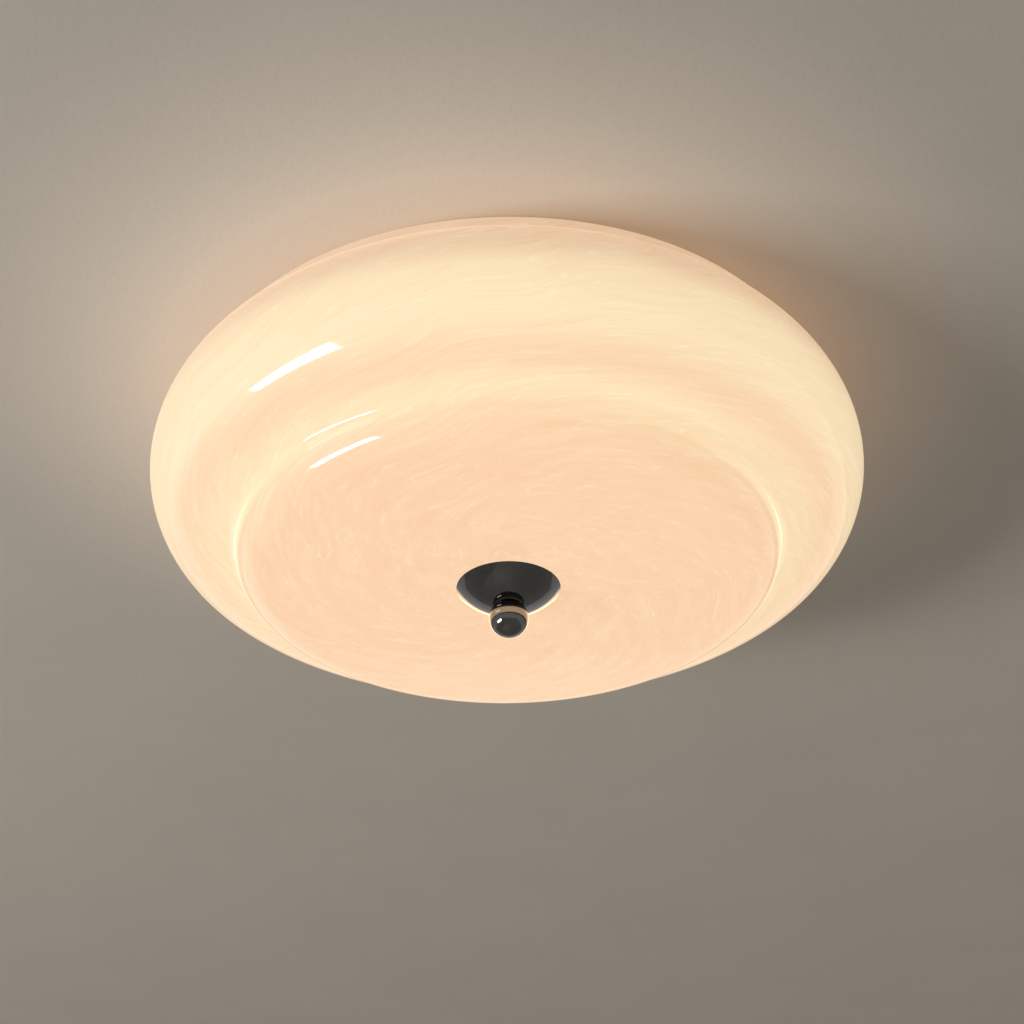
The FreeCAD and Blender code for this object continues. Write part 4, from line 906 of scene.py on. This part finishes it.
def stage_sheet(name, half, level, down, material):
    """A square sheet of the room: the ceiling faces down and the floor up."""
    bm = bmesh.new()
    bmesh.ops.create_grid(bm, x_segments=1, y_segments=1, size=half, matrix=Matrix.Translation((0, 0, level)))
    if down:
        bmesh.ops.reverse_faces(bm, faces=bm.faces[:])
    mesh = bpy.data.meshes.new(name)
    bm.to_mesh(mesh)
    bm.free()
    mesh.materials.append(material)
    made = bpy.data.objects.new(name, mesh)
    bpy.context.scene.collection.objects.link(made)


def hang_lamp(power):
    """The soft lamp on the left, whose reflections are the bright streaks on the glass."""
    lamp = bpy.data.lights.new("main_lamp", "AREA")
    lamp.shape = "RECTANGLE"
    lamp.size = LAMP_WIDTH
    lamp.size_y = LAMP_HEIGHT
    lamp.energy = power
    made = bpy.data.objects.new("main_lamp", lamp)
    made.location = LAMP_PLACE
    made.rotation_euler = (Vector(LAMP_AIM) - Vector(LAMP_PLACE)).to_track_quat("-Z", "Y").to_euler()
    bpy.context.scene.collection.objects.link(made)


def camera_turn(room):
    """Where the camera stands and how it turns: the middle of the ceiling lies off the picture's centre."""
    half = PICTURE / 2
    focal = room.camera_lens / SENSOR * PICTURE
    away = Vector((0, -math.cos(room.camera_elevation), -math.sin(room.camera_elevation)))
    forward = -away
    right = forward.cross(Vector((0, 0, 1))).normalized()
    down = forward.cross(right)
    level = Matrix((right, down, forward))
    aim = Vector(((room.centre_across - half) / focal, (room.centre_down - half) / focal, 1)).normalized()
    yaw = Matrix.Rotation(math.atan2(aim.x, aim.z), 3, "Y")
    pitch = Matrix.Rotation(-math.asin(aim.y), 3, "X")
    roll = Matrix.Rotation(room.camera_roll, 3, "Z")
    axes = yaw @ pitch @ roll @ level
    turn = Matrix((axes[0], -axes[1], -axes[2])).transposed()
    return Matrix.Translation(away * room.camera_distance) @ turn.to_4x4()


def set_world(room):
    """Plain light from all round, shown at full strength to the camera and in metal and glass."""
    world = bpy.data.worlds.new("studio")
    bpy.context.scene.world = world
    world.use_nodes = True
    tree = Tree(world.node_tree)
    ground = world.node_tree.nodes["Background"]
    ground.inputs["Color"].default_value = opaque(room.world_colour)
    ground.inputs["Strength"].default_value = room.world_strength
    pale = tree.add("ShaderNodeBackground")
    pale.inputs["Color"].default_value = opaque(room.world_colour)
    pale.inputs["Strength"].default_value = 1.0
    ray = tree.add("ShaderNodeLightPath").outputs
    seen = tree.math("MAXIMUM", ray["Is Camera Ray"], ray["Is Glossy Ray"])
    seen = tree.math("MAXIMUM", seen, ray["Is Transmission Ray"])
    mixed = tree.add("ShaderNodeMixShader")
    tree.feed(mixed.inputs[0], seen)
    tree.feed(mixed.inputs[1], ground.outputs[0])
    tree.feed(mixed.inputs[2], pale.outputs[0])
    tree.feed(world.node_tree.nodes["World Output"].inputs["Surface"], mixed.outputs[0])


class LIGHT_OT_stage(bpy.types.Operator):
    """Set up the ceiling, the floor, the soft lamp, the plain surroundings and the camera"""

    bl_idname = "light.stage"
    bl_label = "Stage"

    def execute(self, context):
        scene = context.scene
        room = scene.light_room
        scene.view_settings.view_transform = "Standard"
        stage_sheet("ceiling", CEILING_HALF, 0.0, True, ceiling_finish(room))
        stage_sheet("floor", FLOOR_HALF, FLOOR_LEVEL, False, floor_finish(room))
        set_world(room)
        hang_lamp(room.key_power)
        view = bpy.data.cameras.new("view")
        view.sensor_width = SENSOR
        view.lens = room.camera_lens
        view.clip_start = 0.01
        camera = bpy.data.objects.new("view", view)
        camera.matrix_world = camera_turn(room)
        scene.collection.objects.link(camera)
        scene.camera = camera
        return {"FINISHED"}


class LIGHT_PT_sidebar(bpy.types.Panel):
    bl_idname = "LIGHT_PT_sidebar"
    bl_label = "Ceiling Light"
    bl_space_type = "VIEW_3D"
    bl_region_type = "UI"
    bl_category = "Ceiling Light"

    def draw(self, context):
        for group in SETTINGS:
            box = self.layout.box()
            settings = getattr(context.scene, group)
            for name in settings.bl_rna.properties.keys():
                if name not in ("rna_type", "name"):
                    box.prop(settings, name)
        for operator in OPERATORS:
            self.layout.operator(operator.bl_idname)


SETTINGS = {"light_glass": GlassSettings, "light_metal": MetalSettings, "light_room": RoomSettings}
OPERATORS = (LIGHT_OT_frame_finishes, LIGHT_OT_glass_shade, LIGHT_OT_dish, LIGHT_OT_finial,
             LIGHT_OT_threaded_rod, LIGHT_OT_stage)
CLASSES = tuple(SETTINGS.values()) + OPERATORS + (LIGHT_PT_sidebar,)


def register():
    for kind in CLASSES:
        bpy.utils.register_class(kind)
    for name, kind in SETTINGS.items():
        setattr(bpy.types.Scene, name, PointerProperty(type=kind))


def unregister():
    for name in SETTINGS:
        delattr(bpy.types.Scene, name)
    for kind in reversed(CLASSES):
        bpy.utils.unregister_class(kind)


def main():
    register()
    bpy.ops.light.frame_finishes()
    bpy.ops.light.glass_shade()
    bpy.ops.light.dish()
    bpy.ops.light.finial()
    bpy.ops.light.threaded_rod()
    bpy.ops.light.stage()


if __name__ == "__main__":
    main()
